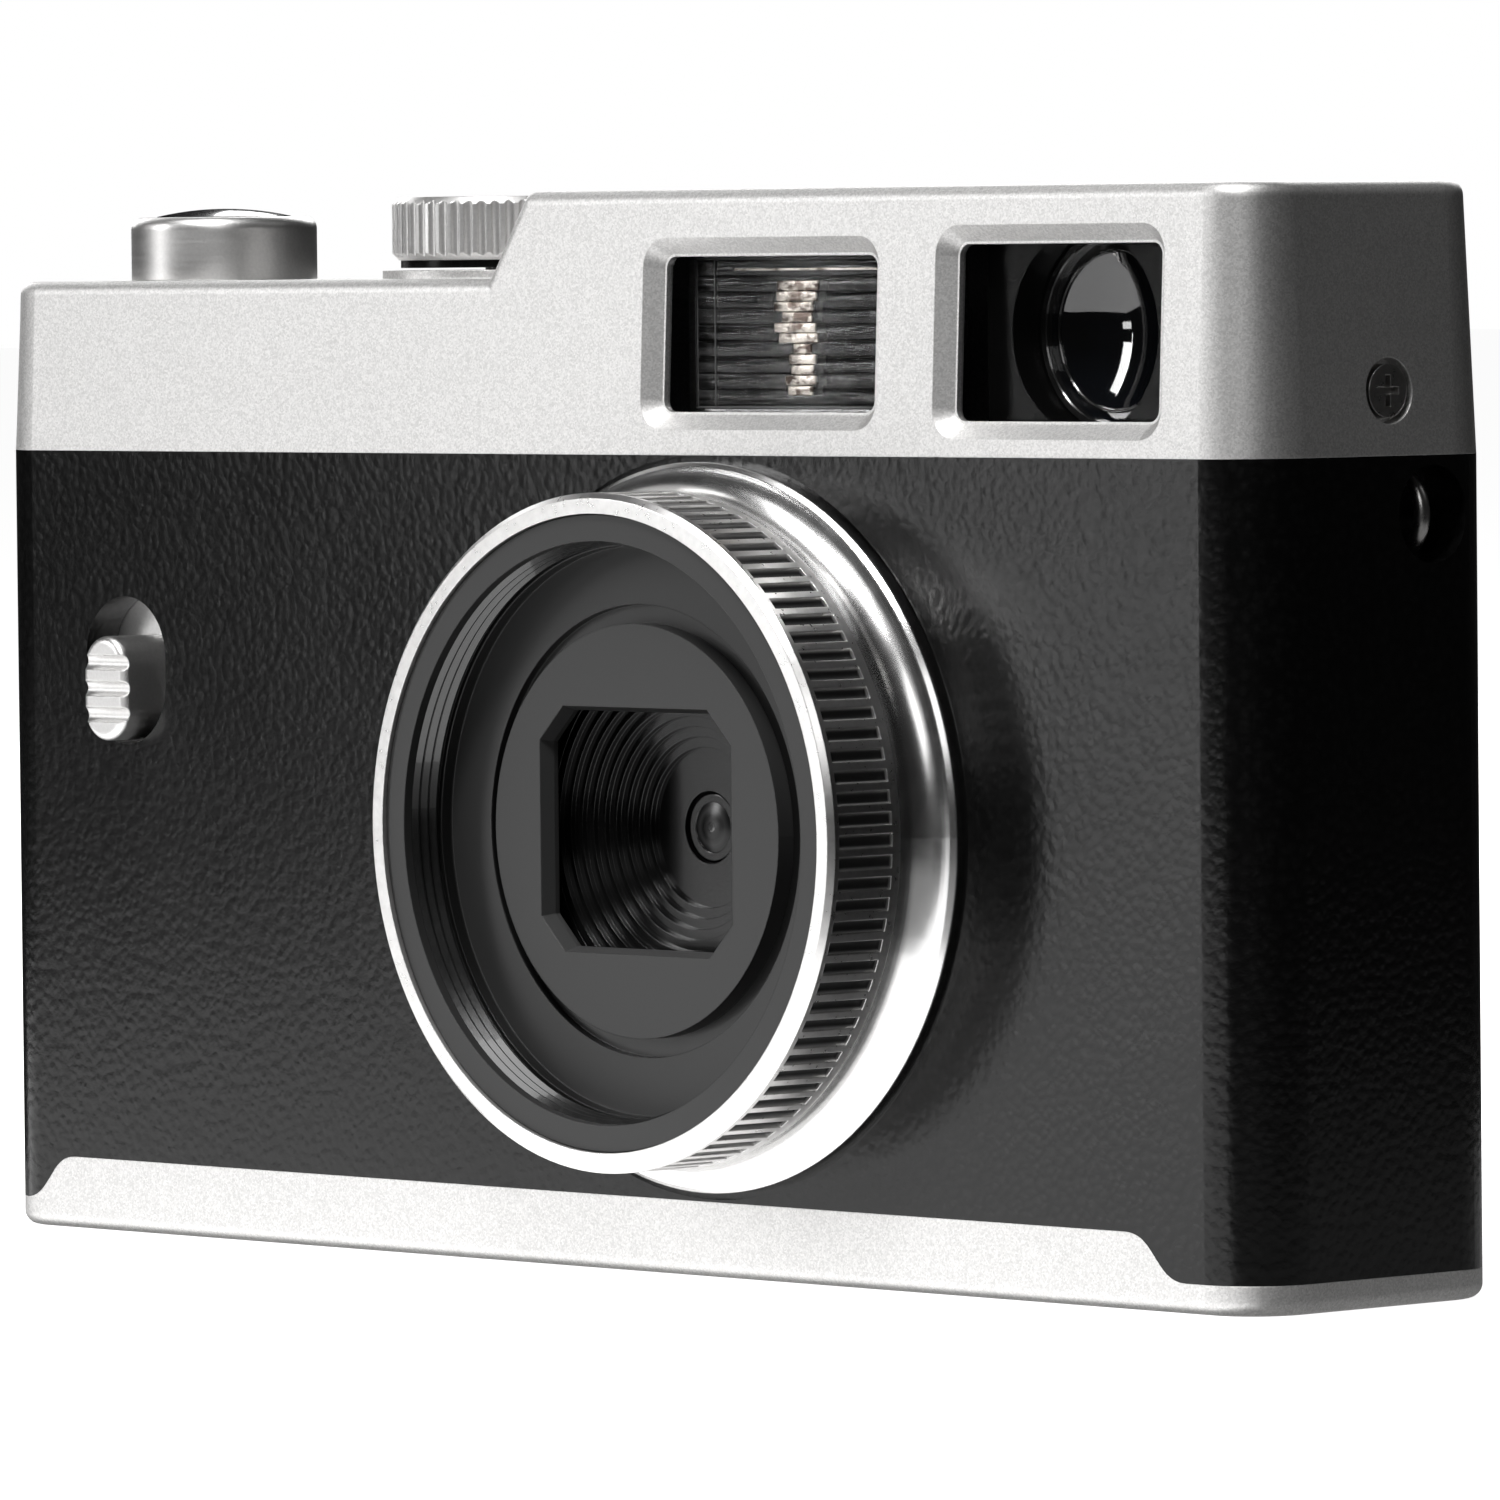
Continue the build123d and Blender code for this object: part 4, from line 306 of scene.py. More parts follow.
# ---- base plate ----
# A shallow pressed tray closes the underside and turns up over the front as a low lip. It is sprayed with
# the same fine silver as the top cover. The tripod bush is turned brass, and the four screws are steel.
silver_paint = Graph("silver_paint", Metallic=0.92, Specular_IOR_Level=0.6)
FLAKE = 0.11 * MM
spot = silver_paint.place()
flake = silver_paint.add("ShaderNodeTexVoronoi", None, {"Vector": spot, "Scale": 1 / FLAKE}, 1)
flake_tone = silver_paint.axes(flake)[0]
mist = silver_paint.noise(spot, 0.25 * MM, 3.0, 0.6)
patch = silver_paint.noise(spot, 14 * MM, 2.0)
round_edge = silver_paint.add("ShaderNodeBevel", {"samples": 4}, {"Radius": 0.10 * MM})
sparkle = 0.6 * flake_tone + 0.4 * mist
silver_paint.set(Base_Color=silver_paint.mix(sparkle, grey(0.50, 0.01), grey(0.80, 0.01)),
                 Roughness=0.42 + 0.10 * mist + 0.05 * patch,
                 Normal=silver_paint.bump(mist * 0.6 + flake_tone * 0.4, 0.008 * MM, 0.7, round_edge))
paint(silver_paint, "silver_cover", "base_plate", "top_cover")

brass = Graph("turned_brass", Metallic=1.0)
spot = brass.place()
across, along = brass.axes(spot)[:2]
TOOL_MARK = 0.22 * MM
rings = ((across * across + along * along) ** 0.5 * (2 * pi / TOOL_MARK)).sine()
brass.set(Base_Color=brass.mix(brass.noise(spot, 1.5 * MM), (0.52, 0.36, 0.15, 1), (0.66, 0.48, 0.22, 1)),
          Roughness=0.3 + 0.05 * rings, Normal=brass.bump(rings, 0.004 * MM))
paint(brass, "brass", "tripod_bush")

steel = Graph("bright_steel", Metallic=1.0)
spot = steel.place()
scuff = steel.noise(spot, 0.6 * MM, 4.0, 0.6)
steel_edge = steel.add("ShaderNodeBevel", {"samples": 4}, {"Radius": 0.1 * MM})
steel.set(Base_Color=steel.mix(scuff, grey(0.35, 0.02), grey(0.55, 0.02)), Roughness=0.18 + 0.25 * scuff,
          Normal=steel.bump(scuff, 0.004 * MM, 0.5, steel_edge))
paint(steel, "steel", "case_screws", "cover_screws", "base_screws", "lens_screws", "strap_lug",
      "port_hinge_pin", "focus_pin", "dial_shaft", "shutter_spring", "shutter_clip", "usb_socket",
      "card_socket", "slide_switch", "shutter_switch")

# ---- lens flange and focus ring ----
# Both are turned from aluminium. The flange is a hollow cone, polished and sunk into the front wall. The
# ring has a polished front rim and a straight knurl. Its grooves and its bore are coloured near black,
# partly the knurl's own blackening and partly painted shade in these hollows.
LENS = (11.0 * MM, -11.2 * MM, 28.4 * MM)


def about_lens(graph):
    """How far a point is from the lens axis, and how far in front of the body's face, in millimetres."""
    across, along, up = graph.axes(graph.place(LENS))
    return (across * across + up * up) ** 0.5 * (1 / MM), along * (-1 / MM)


polished = Graph("polished_aluminium", Metallic=1.0)
spot = polished.place()
reach, out = about_lens(polished)
turning = (reach * (2 * pi / 0.16) + out * (2 * pi / 0.21)).sine()
haze = polished.noise(spot, 1.2 * MM, 3.0)
flange_edge = polished.add("ShaderNodeBevel", {"samples": 4}, {"Radius": 0.18 * MM})
polished.set(Base_Color=polished.mix(haze, grey(0.66, 0.005), grey(0.8, 0.005)),
             Roughness=0.20 + 0.06 * haze, Normal=polished.bump(turning, 0.0015 * MM, 0.5, flange_edge))
paint(polished, "silver_trim", "lens_flange")

RIM_R, GROOVE_R, BORE_R = 21.25, 20.95, 19.95
GROOVE_BACK, GROOVE_FRONT = 3.5, 9.075
knurl = Graph("knurled_aluminium", Metallic=1.0)
spot = knurl.place()
reach, out = about_lens(knurl)
along_groove = out.within(GROOVE_BACK - 0.1, GROOVE_BACK + 0.1) * (
    1 - out.within(GROOVE_FRONT - 0.075, GROOVE_FRONT + 0.075))
in_groove = (1 - reach.within(GROOVE_R, RIM_R - 0.06)) * along_groove
inside = 1 - reach.within(BORE_R - 0.05, BORE_R + 0.05)
# Near black in the grooves and the bore: partly the knurl's blackening, partly painted shade in these
# hollows.
groove_black_and_shade = in_groove.maths("MAXIMUM", in_groove, inside)
haze = knurl.noise(spot, 0.5 * MM, 3.0)
ring_edge = knurl.add("ShaderNodeBevel", {"samples": 4}, {"Radius": 0.10 * MM})
knurl.set(Base_Color=knurl.mix(groove_black_and_shade, knurl.mix(haze, grey(0.62, 0.01), grey(0.82, 0.01)), grey(0.02)),
          Roughness=0.24 + 0.10 * haze + 0.25 * groove_black_and_shade, Metallic=1 - 0.8 * groove_black_and_shade,
          Normal=knurl.bump(haze, 0.003 * MM, 0.5, ring_edge))
paint(knurl, "silver_trim", "focus_ring")

# ---- lens barrel with its filter thread ----
# The barrel is black moulded plastic: a satin front ring, a 37 mm filter thread, a grey floor and a black
# moat round the mask. The thread is cut with a 0.75 mm pitch, and its crests shine.
barrel_paint = Graph("barrel_black", IOR=1.5)
spot = barrel_paint.place()
reach, out = about_lens(barrel_paint)
FRONT_RING_OUT, FRONT_RING_R, FLOOR_LOW, FLOOR_HIGH, MOAT_R = 8.6, 18.0, 5.3, 5.52, 14.1
front_ring = out.within(FRONT_RING_OUT, FRONT_RING_OUT + 0.12) * (
    reach.within(FRONT_RING_R, FRONT_RING_R + 0.3))
floor_ring = (1 - out.within(FLOOR_HIGH, FLOOR_HIGH + 0.18)) * reach.within(MOAT_R, MOAT_R + 0.15) * (
    out.within(FLOOR_LOW, FLOOR_LOW + 0.15))
satin = front_ring + floor_ring
dust = barrel_paint.noise(spot, 0.25 * MM, 3.0)
barrel_edge = barrel_paint.add("ShaderNodeBevel", {"samples": 4}, {"Radius": 0.12 * MM})
barrel_paint.set(Base_Color=barrel_paint.mix(satin, grey(0.006), grey(0.028)),
                 Roughness=0.30 + 0.16 * satin + 0.08 * dust,
                 Normal=barrel_paint.bump(dust, 0.006 * MM, 0.5, barrel_edge))
paint(barrel_paint, "black_plastic", "lens_barrel")


def lens_point(reach, out):
    """A point in the half plane through the lens axis that the turned pieces are spun from."""
    return (LENS[0] + reach * MM, LENS[1] - out * MM, LENS[2])


def turned(name, outline, body, graph, axis_at=LENS, axis=(0, 1, 0), steps=96, point=lens_point):
    """A piece spun all the way round from its outline of (reach, out) pairs in millimetres."""
    shape = bmesh.new()
    corners = [shape.verts.new(point(*pair)) for pair in outline]
    wire = [shape.edges.new(pair) for pair in zip(corners, corners[1:] + corners[:1])]
    bmesh.ops.spin(shape, geom=corners + wire, cent=axis_at, axis=axis, angle=2 * pi, steps=steps,
                   use_merge=True)
    finish(name, shape, body, graph)


def finish(name, shape, body, graph, rounding=0.0):
    """Cleans a piece's mesh, rounds its sharp edges, turns its faces outwards and hangs it on its body."""
    bmesh.ops.remove_doubles(shape, verts=shape.verts, dist=0.0005 * MM)
    loose = [vert for vert in shape.verts if not vert.link_faces]
    bmesh.ops.delete(shape, geom=loose, context="VERTS")
    if rounding:
        sharp = [edge for edge in shape.edges if len(edge.link_faces) == 2
                 and edge.calc_face_angle() > radians(30)]
        bmesh.ops.bevel(shape, geom=sharp, offset=rounding, affect="EDGES", segments=2, profile=0.5,
                        material=-1)
    bmesh.ops.recalc_face_normals(shape, faces=shape.faces)
    mesh = bpy.data.meshes.new(name)
    shape.to_mesh(mesh)
    shape.free()
    mesh.shade_smooth()
    mesh.set_sharp_from_angle(angle=radians(35))
    mesh.materials.append(graph.material)
    piece = bpy.data.objects.new(name, mesh)
    bpy.context.scene.collection.objects.link(piece)
    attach(piece, body)
    return piece


thread_paint = Graph("thread_black", IOR=1.6, Coat_Weight=0.5)
spot = thread_paint.place()
dust = thread_paint.noise(spot, 0.3 * MM, 3.0)
thread_paint.set(Base_Color=thread_paint.mix(dust, grey(0.006), grey(0.014)), Roughness=0.18 + 0.1 * dust)
PITCH, CREST_R, ROOT_R, THREAD_BACK, THREAD_TURNS = 0.75, 17.98, 18.24, 6.42, 3
VALLEY_R, CREST_FROM, CREST_TO = ROOT_R - 0.02, 0.32, 0.42
teeth = []
for turn in range(THREAD_TURNS):
    foot = THREAD_BACK + turn * PITCH
    teeth += [(VALLEY_R, foot), (CREST_R, foot + CREST_FROM), (CREST_R, foot + CREST_TO)]
thread_front = THREAD_BACK + THREAD_TURNS * PITCH
teeth += [(VALLEY_R, thread_front), (ROOT_R, thread_front), (ROOT_R, THREAD_BACK)]
turned("filter_thread", teeth, "case", thread_paint, steps=144)

# ---- mask, lens cell, baffle and lenses ----
# A grey moulded mask with a chamfered opening frames the sunken cell. The baffle steps down to a small
# glass lens in fine stairs, which keep stray light out, and the glass carries a dark coating. The lens's
# colour is painted in grey rings round its axis: painted reflections of the deeper lens elements' rims.
mask_paint = Graph("mask_grey", IOR=1.5)
spot = mask_paint.place()
dust = mask_paint.noise(spot, 0.2 * MM, 3.0)
out = about_lens(mask_paint)[1]
MASK_FACE = 6.19
bevel = 1 - out.within(MASK_FACE - 0.07, MASK_FACE)
mask_edge = mask_paint.add("ShaderNodeBevel", {"samples": 4}, {"Radius": 0.12 * MM})
mask_paint.set(Base_Color=mask_paint.mix(bevel, grey(0.03), grey(0.05)), Roughness=0.42 + 0.12 * dust,
               Normal=mask_paint.bump(dust, 0.006 * MM, 0.5, mask_edge))
paint(mask_paint, "black_plastic", "lens_mask")

stair_paint = Graph("stair_black", IOR=1.5)
spot = stair_paint.place()
dust = stair_paint.noise(spot, 0.2 * MM, 3.0)
stair_edge = stair_paint.add("ShaderNodeBevel", {"samples": 4}, {"Radius": 0.09 * MM})
stair_paint.set(Base_Color=stair_paint.mix(dust, grey(0.005), grey(0.010)), Roughness=0.15 + 0.08 * dust,
                Normal=stair_paint.bump(dust, 0.004 * MM, 0.5, stair_edge))
paint(stair_paint, "black_plastic", "lens_baffle", "lens_cell")

coated = Graph("coated_glass", IOR=1.35, Roughness=0.22)
GLASS_R = 3.0
# Painted reflections: the grey rings in this ramp stand for the rims of the deeper lens elements.
rim_reflection_reach = coated.add("ShaderNodeMapRange", None, {"Value": about_lens(coated)[0], "From Min": 0.0,
                                               "From Max": GLASS_R})
coated.set(Base_Color=coated.add("ShaderNodeValToRGB", {"stops": [
    (0.0, grey(0.05)), (0.08, grey(0.004)), (0.14, grey(0.05)), (0.26, grey(0.012)), (0.38, grey(0.07)),
    (0.48, grey(0.02)), (0.6, grey(0.004)), (1.0, grey(0.004))]}, {0: rim_reflection_reach}))
paint(coated, "clear", "front_lens", "rear_lens")

finder_glass = Graph("finder_glass", Coat_Weight=1.0, Coat_Roughness=0.02, Coat_IOR=1.7)
haze = finder_glass.noise(finder_glass.place(), 3 * MM, 2.0)
finder_glass.set(Base_Color=finder_glass.mix(haze, grey(0.002), (0.006, 0.008, 0.012, 1)),
                 Roughness=0.03 + 0.04 * haze)
paint(finder_glass, "clear", "viewfinder_objective", "viewfinder_eyepiece")


RIM_IN, RIM_OUT, RIM_BACK, RIM_FRONT, CHAMFER = 1.5, 2.2, -0.72, -0.45, 0.12
turned("lens_retainer", [(RIM_IN, RIM_BACK), (RIM_OUT, RIM_BACK), (RIM_OUT, RIM_FRONT - CHAMFER),
                         (RIM_OUT - CHAMFER, RIM_FRONT), (RIM_IN + CHAMFER, RIM_FRONT),
                         (RIM_IN, RIM_FRONT - CHAMFER)], "lens_cell", stair_paint)

# ---- flash ----
# A clear window covers a moulded diffuser of soft ribs, set over a bright aluminium trough. The xenon tube
# lies across the trough with metal caps at its ends. A column of lumps of bright, patchy metal and a bright
# bar lie on the ribs: stand-ins for a column of glints and a highlight line, with painted glints in their
# colour.
window_glass = Graph("window_glass", Roughness=0.03, IOR=1.46)
smear = window_glass.noise(window_glass.place(scale=(1, 1, 6)), 6 * MM, 3.0)
window_glass.set(Base_Color=grey(0.01), Roughness=0.02 + 0.05 * smear)
clear = window_glass.add("ShaderNodeBsdfTransparent", None, {"Color": grey(0.93)})
facing = window_glass.add("ShaderNodeLayerWeight", None, {"Blend": 0.5}, 1)
joined = window_glass.add("ShaderNodeMixShader", None,
                          {0: 0.02 + facing ** 3 * 0.6, 1: clear,
                           2: Value(window_glass, window_glass.shader.outputs[0])})
window_glass.link(window_glass.tree.nodes["Material Output"].inputs["Surface"], joined)
paint(window_glass, "clear", "flash_window", "viewfinder_window", "counter_window")

mirror = Graph("trough_mirror", Metallic=1.0)
ripple = mirror.noise(mirror.place(scale=(1, 1, 3)), 0.9 * MM, 3.0)
mirror.set(Base_Color=mirror.mix(ripple, grey(0.5), grey(0.75)), Roughness=0.12 + 0.15 * ripple,
           Normal=mirror.bump(ripple, 0.02 * MM))
paint(mirror, "reflector", "flash_reflector")

ribbed = Graph("ribbed_plastic", Roughness=0.06, IOR=1.5)
RIB_COUNT, RIB_PITCH, RIB_HALF_W = 9, 1.02, 8.55
up = ribbed.axes(ribbed.place())[2]
haze = ribbed.noise(ribbed.place(scale=(0.12, 1, 3)), 1.6 * MM, 3.0, 0.6)
wave = (up * (2 * pi / (RIB_PITCH * MM))).sine()
# The grey horizontal streaks in the colour, where haze is high, are painted reflections of the trough seen
# through the ribs.
ribbed.set(Base_Color=ribbed.mix(haze.within(0.40, 0.75), grey(0.006), grey(0.16)),
           Roughness=0.05 + 0.03 * haze, Normal=ribbed.bump(wave * 0.25 + haze, 0.12 * MM, 1.0))
see_through = ribbed.add("ShaderNodeBsdfTransparent", None, {"Color": grey(0.85)})
ribbed.link(ribbed.tree.nodes["Material Output"].inputs["Surface"],
            ribbed.add("ShaderNodeMixShader", None, {0: 0.55 + 0.3 * haze, 1: see_through,
                                                     2: Value(ribbed, ribbed.shader.outputs[0])}))


def block(shape, low, high, rounding=0.0, rounded=lambda edge: True, segments=2):
    """A box between two corners in millimetres, with its chosen edges rounded. Gives back its corners."""
    size = [top - bottom for bottom, top in zip(low, high)]
    middle = [(top + bottom) / 2 for bottom, top in zip(low, high)]
    matrix = Matrix.Translation(Vector(middle) * MM) @ Matrix.Diagonal(Vector(size) * MM).to_4x4()
    verts = bmesh.ops.create_cube(shape, size=1.0, matrix=matrix)["verts"]
    if rounding:
        edges = [edge for edge in {e for v in verts for e in v.link_edges} if rounded(edge)]
        bmesh.ops.bevel(shape, geom=edges, offset=rounding * MM, affect="EDGES", segments=segments,
                        profile=0.5, material=-1)
    return verts


TROUGH_MIDDLE_X, TROUGH_MIDDLE_Z = 15.725, 59.45
DIFFUSER_BACK, DIFFUSER_FRONT = -7.2, -8.0
ribs = bmesh.new()
for row in range(RIB_COUNT):
    foot = TROUGH_MIDDLE_Z + (row - RIB_COUNT / 2) * RIB_PITCH
    block(ribs, (TROUGH_MIDDLE_X - RIB_HALF_W, DIFFUSER_FRONT, foot),
          (TROUGH_MIDDLE_X + RIB_HALF_W, DIFFUSER_BACK, foot + RIB_PITCH - 0.02), 0.12,
          lambda edge: abs(edge.verts[0].co.x - edge.verts[1].co.x) > MM
          and edge.verts[0].co.y < (DIFFUSER_FRONT + 0.01) * MM, 5)
finish("flash_diffuser", ribs, "case", ribbed)

frame_paint = Graph("flash_frame_grey", Roughness=0.3)
frame_paint.set(Base_Color=frame_paint.mix(frame_paint.noise(frame_paint.place(), 0.5 * MM),
                                           grey(0.12), grey(0.22)))
flash_frame = bmesh.new()
half_w, half_h, bar = 8.65, RIB_COUNT * RIB_PITCH / 2 + 0.02, 0.14
for low_x, low_z, high_x, high_z in (
        (-half_w, half_h, half_w, half_h + bar), (-half_w, -half_h - bar, half_w, -half_h),
        (-half_w, -half_h, -half_w + bar / 2, half_h), (half_w - bar / 2, -half_h, half_w, half_h)):
    block(flash_frame, (TROUGH_MIDDLE_X + low_x, DIFFUSER_FRONT - 0.02, TROUGH_MIDDLE_Z + low_z),
          (TROUGH_MIDDLE_X + high_x, DIFFUSER_BACK, TROUGH_MIDDLE_Z + high_z), 0.03)
WIRE_LOW_X, WIRE_HIGH_X = 8.72, 8.82
block(flash_frame, (WIRE_LOW_X, DIFFUSER_FRONT - 0.05, TROUGH_MIDDLE_Z - half_h),
      (WIRE_HIGH_X, DIFFUSER_FRONT + 0.2, TROUGH_MIDDLE_Z + half_h), 0.02)
finish("flash_frame", flash_frame, "case", frame_paint)

# A stand-in for the column of glints in the ribs: metal lumps whose colour is painted in bright warm patches
# and dark breaks, as painted glints.
glint_stand_in_paint = Graph("glint_column_stand_in", Metallic=1.0)
glint_patch_mask = glint_stand_in_paint.noise(glint_stand_in_paint.place(scale=(0.5, 1, 1)), 0.7 * MM, 3.0, 0.6)
glint_stand_in_paint.set(Base_Color=glint_stand_in_paint.mix(glint_patch_mask.within(0.38, 0.56), (0.16, 0.12, 0.10, 1),
                                         (0.95, 0.88, 0.8, 1)),
               Roughness=0.22 + 0.2 * glint_patch_mask, Normal=glint_stand_in_paint.bump(glint_patch_mask, 0.12 * MM))
glint_column_stand_in = bmesh.new()
GLINT_FRONT, GLINT_FOOT, GLINT_LUMP_H = DIFFUSER_FRONT - 0.09, 55.5, 0.66
glint_lumps = ((15.4, 17.7), (15.2, 18.0), (15.7, 17.8), (15.5, 18.0), (15.9, 17.6), (14.6, 18.2), (14.2, 18.0),
          (14.9, 17.7), (14.2, 17.8), (14.4, 18.1), (14.5, 18.3))
for row, (low_x, high_x) in enumerate(glint_lumps):
    foot = GLINT_FOOT + row * GLINT_LUMP_H
    block(glint_column_stand_in, (low_x, GLINT_FRONT, foot), (high_x, DIFFUSER_BACK, foot + GLINT_LUMP_H - 0.03), 0.085,
          segments=3)
# A bright bar across the top stands in for a highlight line.
HIGHLIGHT_BAR = ((10.6, GLINT_FRONT, 63.36), (24.2, DIFFUSER_BACK, 63.52))
block(glint_column_stand_in, *HIGHLIGHT_BAR, 0.06)
finish("glint_column_stand_in", glint_column_stand_in, "case", glint_stand_in_paint)

xenon = Graph("xenon_tube", Roughness=0.04, Coat_Weight=1.0)
xenon.set(Base_Color=xenon.mix(xenon.noise(xenon.place(), 2 * MM), grey(0.2, 0.03), grey(0.5, 0.03)))
paint(xenon, "clear", "flash_tube")
TUBE_MIDDLE, TUBE_R = (TROUGH_MIDDLE_X * MM, -4.2 * MM, TROUGH_MIDDLE_Z * MM), 1.4


def tube_point(reach, out):
    """A point in the half plane above the flash tube's axis, with out along the tube from its middle."""
    return (TUBE_MIDDLE[0] + out * MM, TUBE_MIDDLE[1], TUBE_MIDDLE[2] + reach * MM)


CAP_R, CAP_LIP_R = TUBE_R + 0.25, TUBE_R + 0.12
for name, near, far in (("tube_cap_left", -8.4, -7.0), ("tube_cap_right", 8.4, 7.0)):
    turned(name, [(TUBE_R, near), (CAP_R, near), (CAP_R, far * 1.01), (CAP_LIP_R, far), (TUBE_R, far)],
           "case", steel, axis_at=TUBE_MIDDLE, axis=(1, 0, 0), steps=64, point=tube_point)

# ---- viewfinder ----
# A black tube holds a hollow-ground objective behind the front window and a small eyepiece at the back,
# where a moulded frame rings it.
finder_black = Graph("finder_black", IOR=1.25)
spot = finder_black.place()
dust = finder_black.noise(spot, 0.3 * MM, 3.0)
finder_edge = finder_black.add("ShaderNodeBevel", {"samples": 4}, {"Radius": 0.12 * MM})
finder_black.set(Base_Color=finder_black.mix(dust, grey(0.003), grey(0.006)), Roughness=0.16 + 0.08 * dust,
                 Normal=finder_black.bump(dust, 0.004 * MM, 0.5, finder_edge))
paint(finder_black, "black_plastic", "viewfinder_tube", "dial_skirt")

FINDER_MIDDLE = (41.375 * MM, 0.0, 59.5 * MM)


def finder_point(reach, out):
    """A point in the half plane through the viewfinder's axis, with out as its Y."""
    return (FINDER_MIDDLE[0] + reach * MM, out * MM, FINDER_MIDDLE[2])


ring_black = Graph("ring_gloss", Roughness=0.14, IOR=1.6, Coat_Weight=1.0)
dust = ring_black.noise(ring_black.place(), 0.6 * MM, 3.0)
ring_black.set(Base_Color=ring_black.mix(dust, grey(0.01), grey(0.03)), Roughness=0.12 + 0.1 * dust)
LIP = 0.08
for name, low, high, back, front in (("finder_retainer", 5.7, 6.24, -4.82, -5.3),
                                     ("finder_ridge", 4.86, 5.06, -4.78, -5.0)):
    turned(name, [(low, back), (high, back), (high, front + LIP), (high - LIP, front), (low + LIP, front),
                  (low, front + LIP)], "case", ring_black, axis_at=FINDER_MIDDLE,
           point=finder_point)

# ---- shutter release ----
# A turned aluminium collar stands on the deck round a domed black button, which is pushed up by a spring.
# The mode dial and the flash switch's knob are turned and milled from the same satin aluminium.
satin = Graph("satin_aluminium", Metallic=1.0)
spot = satin.place()
mist = satin.noise(spot, 0.2 * MM, 3.0)
lathe = satin.noise(satin.place(scale=(0.15, 0.15, 9)), 1.2 * MM, 3.0)
satin_edge = satin.add("ShaderNodeBevel", {"samples": 4}, {"Radius": 0.15 * MM})
satin.set(Base_Color=satin.mix(mist, grey(0.6, 0.01), grey(0.78, 0.01)), Roughness=0.32 + 0.14 * lathe,
          Normal=satin.bump(mist + lathe, 0.004 * MM, 0.6, satin_edge))
paint(satin, "silver_trim", "shutter_collar", "mode_dial", "flash_switch_knob")

button_black = Graph("button_black", Roughness=0.12, Coat_Weight=0.8)
spot = button_black.place()
haze = button_black.noise(spot, 0.8 * MM, 4.0)
button_black.set(Base_Color=button_black.mix(haze, grey(0.006), grey(0.012)), Roughness=0.10 + 0.12 * haze)
paint(button_black, "black_gloss", "shutter_button")

# ---- shutter spring ----
# A coil of steel wire stands on the deck, inside the button, and holds the button up. It is wound round the
# stem. It would shorten as the button goes down, but here it is built only at rest.
SHUTTER_X, COIL_R, WIRE_R, COIL_TURNS, COIL_STEPS = -47.6, 2.5, 0.2, 3.5, 168
COIL_FOOT, COIL_TOP, PRESS = 63.25, 65.25, 0.9
coil = bmesh.new()
bmesh.ops.create_circle(coil, segments=10, radius=WIRE_R * MM, matrix=Matrix.Translation(
    Vector((SHUTTER_X + COIL_R, 0, COIL_FOOT)) * MM) @ Matrix.Rotation(pi / 2, 4, "X"))
coil_rise = (COIL_TOP - COIL_FOOT) * MM / COIL_STEPS
bmesh.ops.spin(coil, geom=coil.verts[:] + coil.edges[:], cent=(SHUTTER_X * MM, 0, 0), axis=(0, 0, 1),
               dvec=(0, 0, coil_rise), angle=2 * pi * COIL_TURNS, steps=COIL_STEPS)
bmesh.ops.holes_fill(coil, edges=[edge for edge in coil.edges if edge.is_boundary])
spring = finish("shutter_coil", coil, "case", steel)
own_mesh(spring)
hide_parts("shutter_spring")

# ---- mode dial marks ----
# Seven filled dots are pressed into the dial's dish, one for each click, and a red one on the deck behind the
# dial is what they are set against. All of them are enamel.
enamel = Graph("black_enamel", Roughness=0.25)
enamel.set(Base_Color=enamel.mix(enamel.noise(enamel.place(), 0.15 * MM), grey(0.01), grey(0.03)))
red_enamel = Graph("red_enamel", Roughness=0.25)
red_enamel.set(Base_Color=red_enamel.mix(red_enamel.noise(red_enamel.place(), 0.15 * MM),
                                         (0.35, 0.01, 0.01, 1), (0.5, 0.02, 0.015, 1)))
DIAL_X, DIAL_Y, DISH_FLOOR, DECK_TOP, DOT_H = -19.4, 0.0, 68.05, 63.0, 0.06


def dots(name, places, body, graph):
    """Low round dots of enamel, each given as X, Y, the height of its foot and its radius in millimetres."""
    shape = bmesh.new()
    for x, y, foot, size in places:
        bmesh.ops.create_cone(shape, cap_ends=True, segments=24, radius1=size * MM, radius2=size * 0.85 * MM,
                              depth=2 * DOT_H * MM, matrix=Matrix.Translation(Vector((x, y, foot)) * MM))
    finish(name, shape, body, graph, 0.01 * MM)


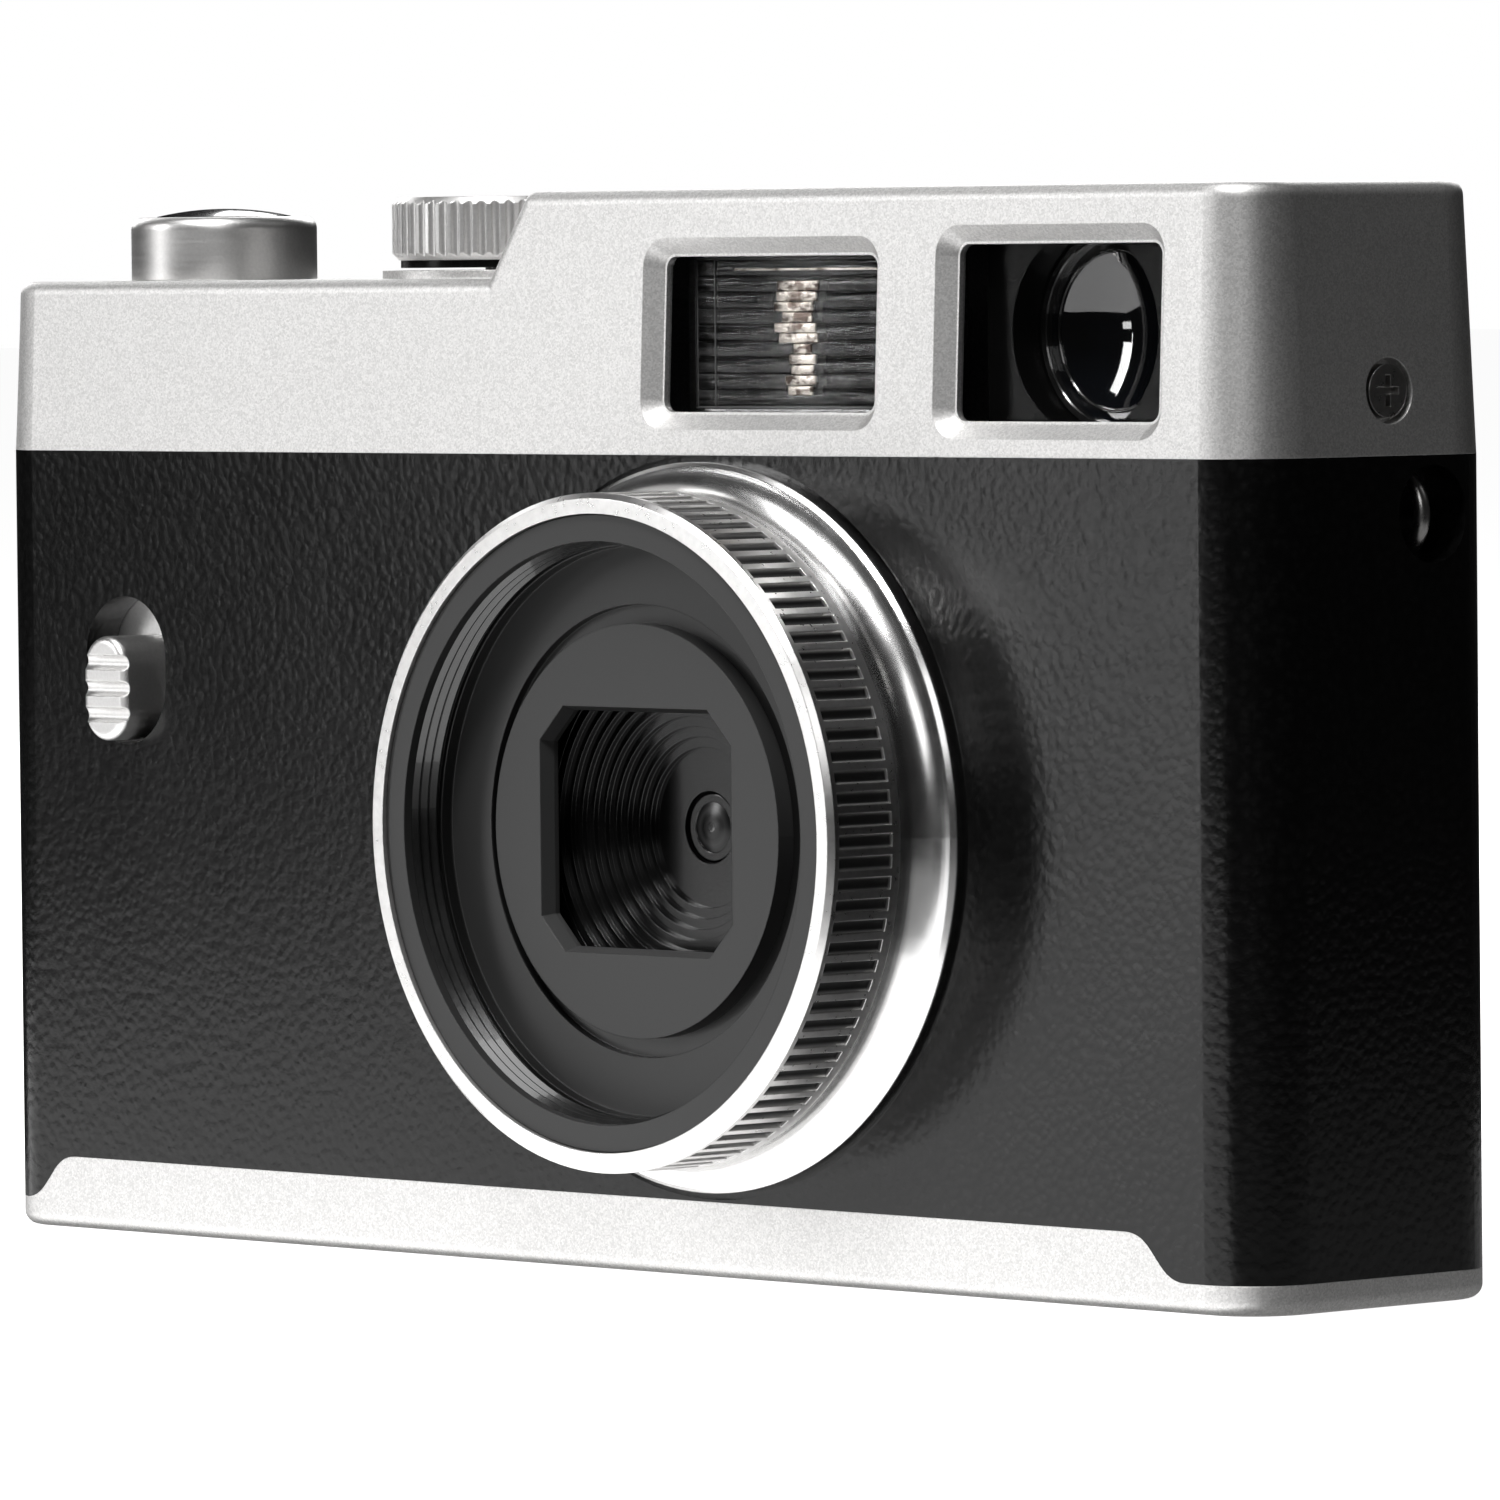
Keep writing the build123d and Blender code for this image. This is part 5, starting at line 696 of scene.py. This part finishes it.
DOT_REACH, DOT_STEP, DOT_R, FIRST_DOT_R, INDEX_REACH, INDEX_R = 4.7, radians(40), 0.3, 0.42, 9.15, 0.35
dots("dial_dots", [(DIAL_X + DOT_REACH * sin(DOT_STEP * turn), DIAL_Y + DOT_REACH * cos(DOT_STEP * turn),
                    DISH_FLOOR, DOT_R if turn else FIRST_DOT_R) for turn in range(-3, 4)],
     "mode_dial", enamel)
dots("dial_index", [(DIAL_X, DIAL_Y + INDEX_REACH, DECK_TOP, INDEX_R)], "case", red_enamel)

# ---- counter digits ----
# The frame counter on the back is a dark liquid crystal panel under a clear window. Its two digits are made
# of bars, which stand a hair over the panel's face.
crystal = Graph("counter_bars", Roughness=0.3)
crystal.set(Base_Color=crystal.mix(crystal.noise(crystal.place(), 0.1 * MM), grey(0.35), grey(0.5)))
DISPLAY_FACE, DISPLAY_Z, DIGIT_W, DIGIT_H, BAR_W = 8.0, 43.2, 1.7, 3.4, 0.4
TENS_X, UNITS_X = 14.3, 11.4
BARS = {"top": (0, 2, 1, 2), "middle": (0, 1, 1, 1), "foot": (0, 0, 1, 0), "upper left": (0, 1, 0, 2),
        "upper right": (1, 1, 1, 2), "lower left": (0, 0, 0, 1), "lower right": (1, 0, 1, 1)}
digits = bmesh.new()
for left, lit in ((TENS_X, ("top", "upper right", "middle", "lower left", "foot")),
                  (UNITS_X, ("upper left", "upper right", "middle", "lower right"))):
    for bar in lit:
        from_x, from_z, to_x, to_z = BARS[bar]
        ends_x = sorted((left - from_x * DIGIT_W, left - to_x * DIGIT_W))
        ends_z = [DISPLAY_Z + (level - 1) * DIGIT_H / 2 for level in (from_z, to_z)]
        gap_x, gap_z = (-BAR_W / 2 - 0.06, BAR_W / 2) if from_x != to_x else (BAR_W / 2, -BAR_W / 2 - 0.06)
        block(digits, (ends_x[0] - gap_x, DISPLAY_FACE - 0.03, ends_z[0] - gap_z),
              (ends_x[1] + gap_x, DISPLAY_FACE + 0.04, ends_z[1] + gap_z), 0.02)
finish("counter_digits", digits, "case", crystal)
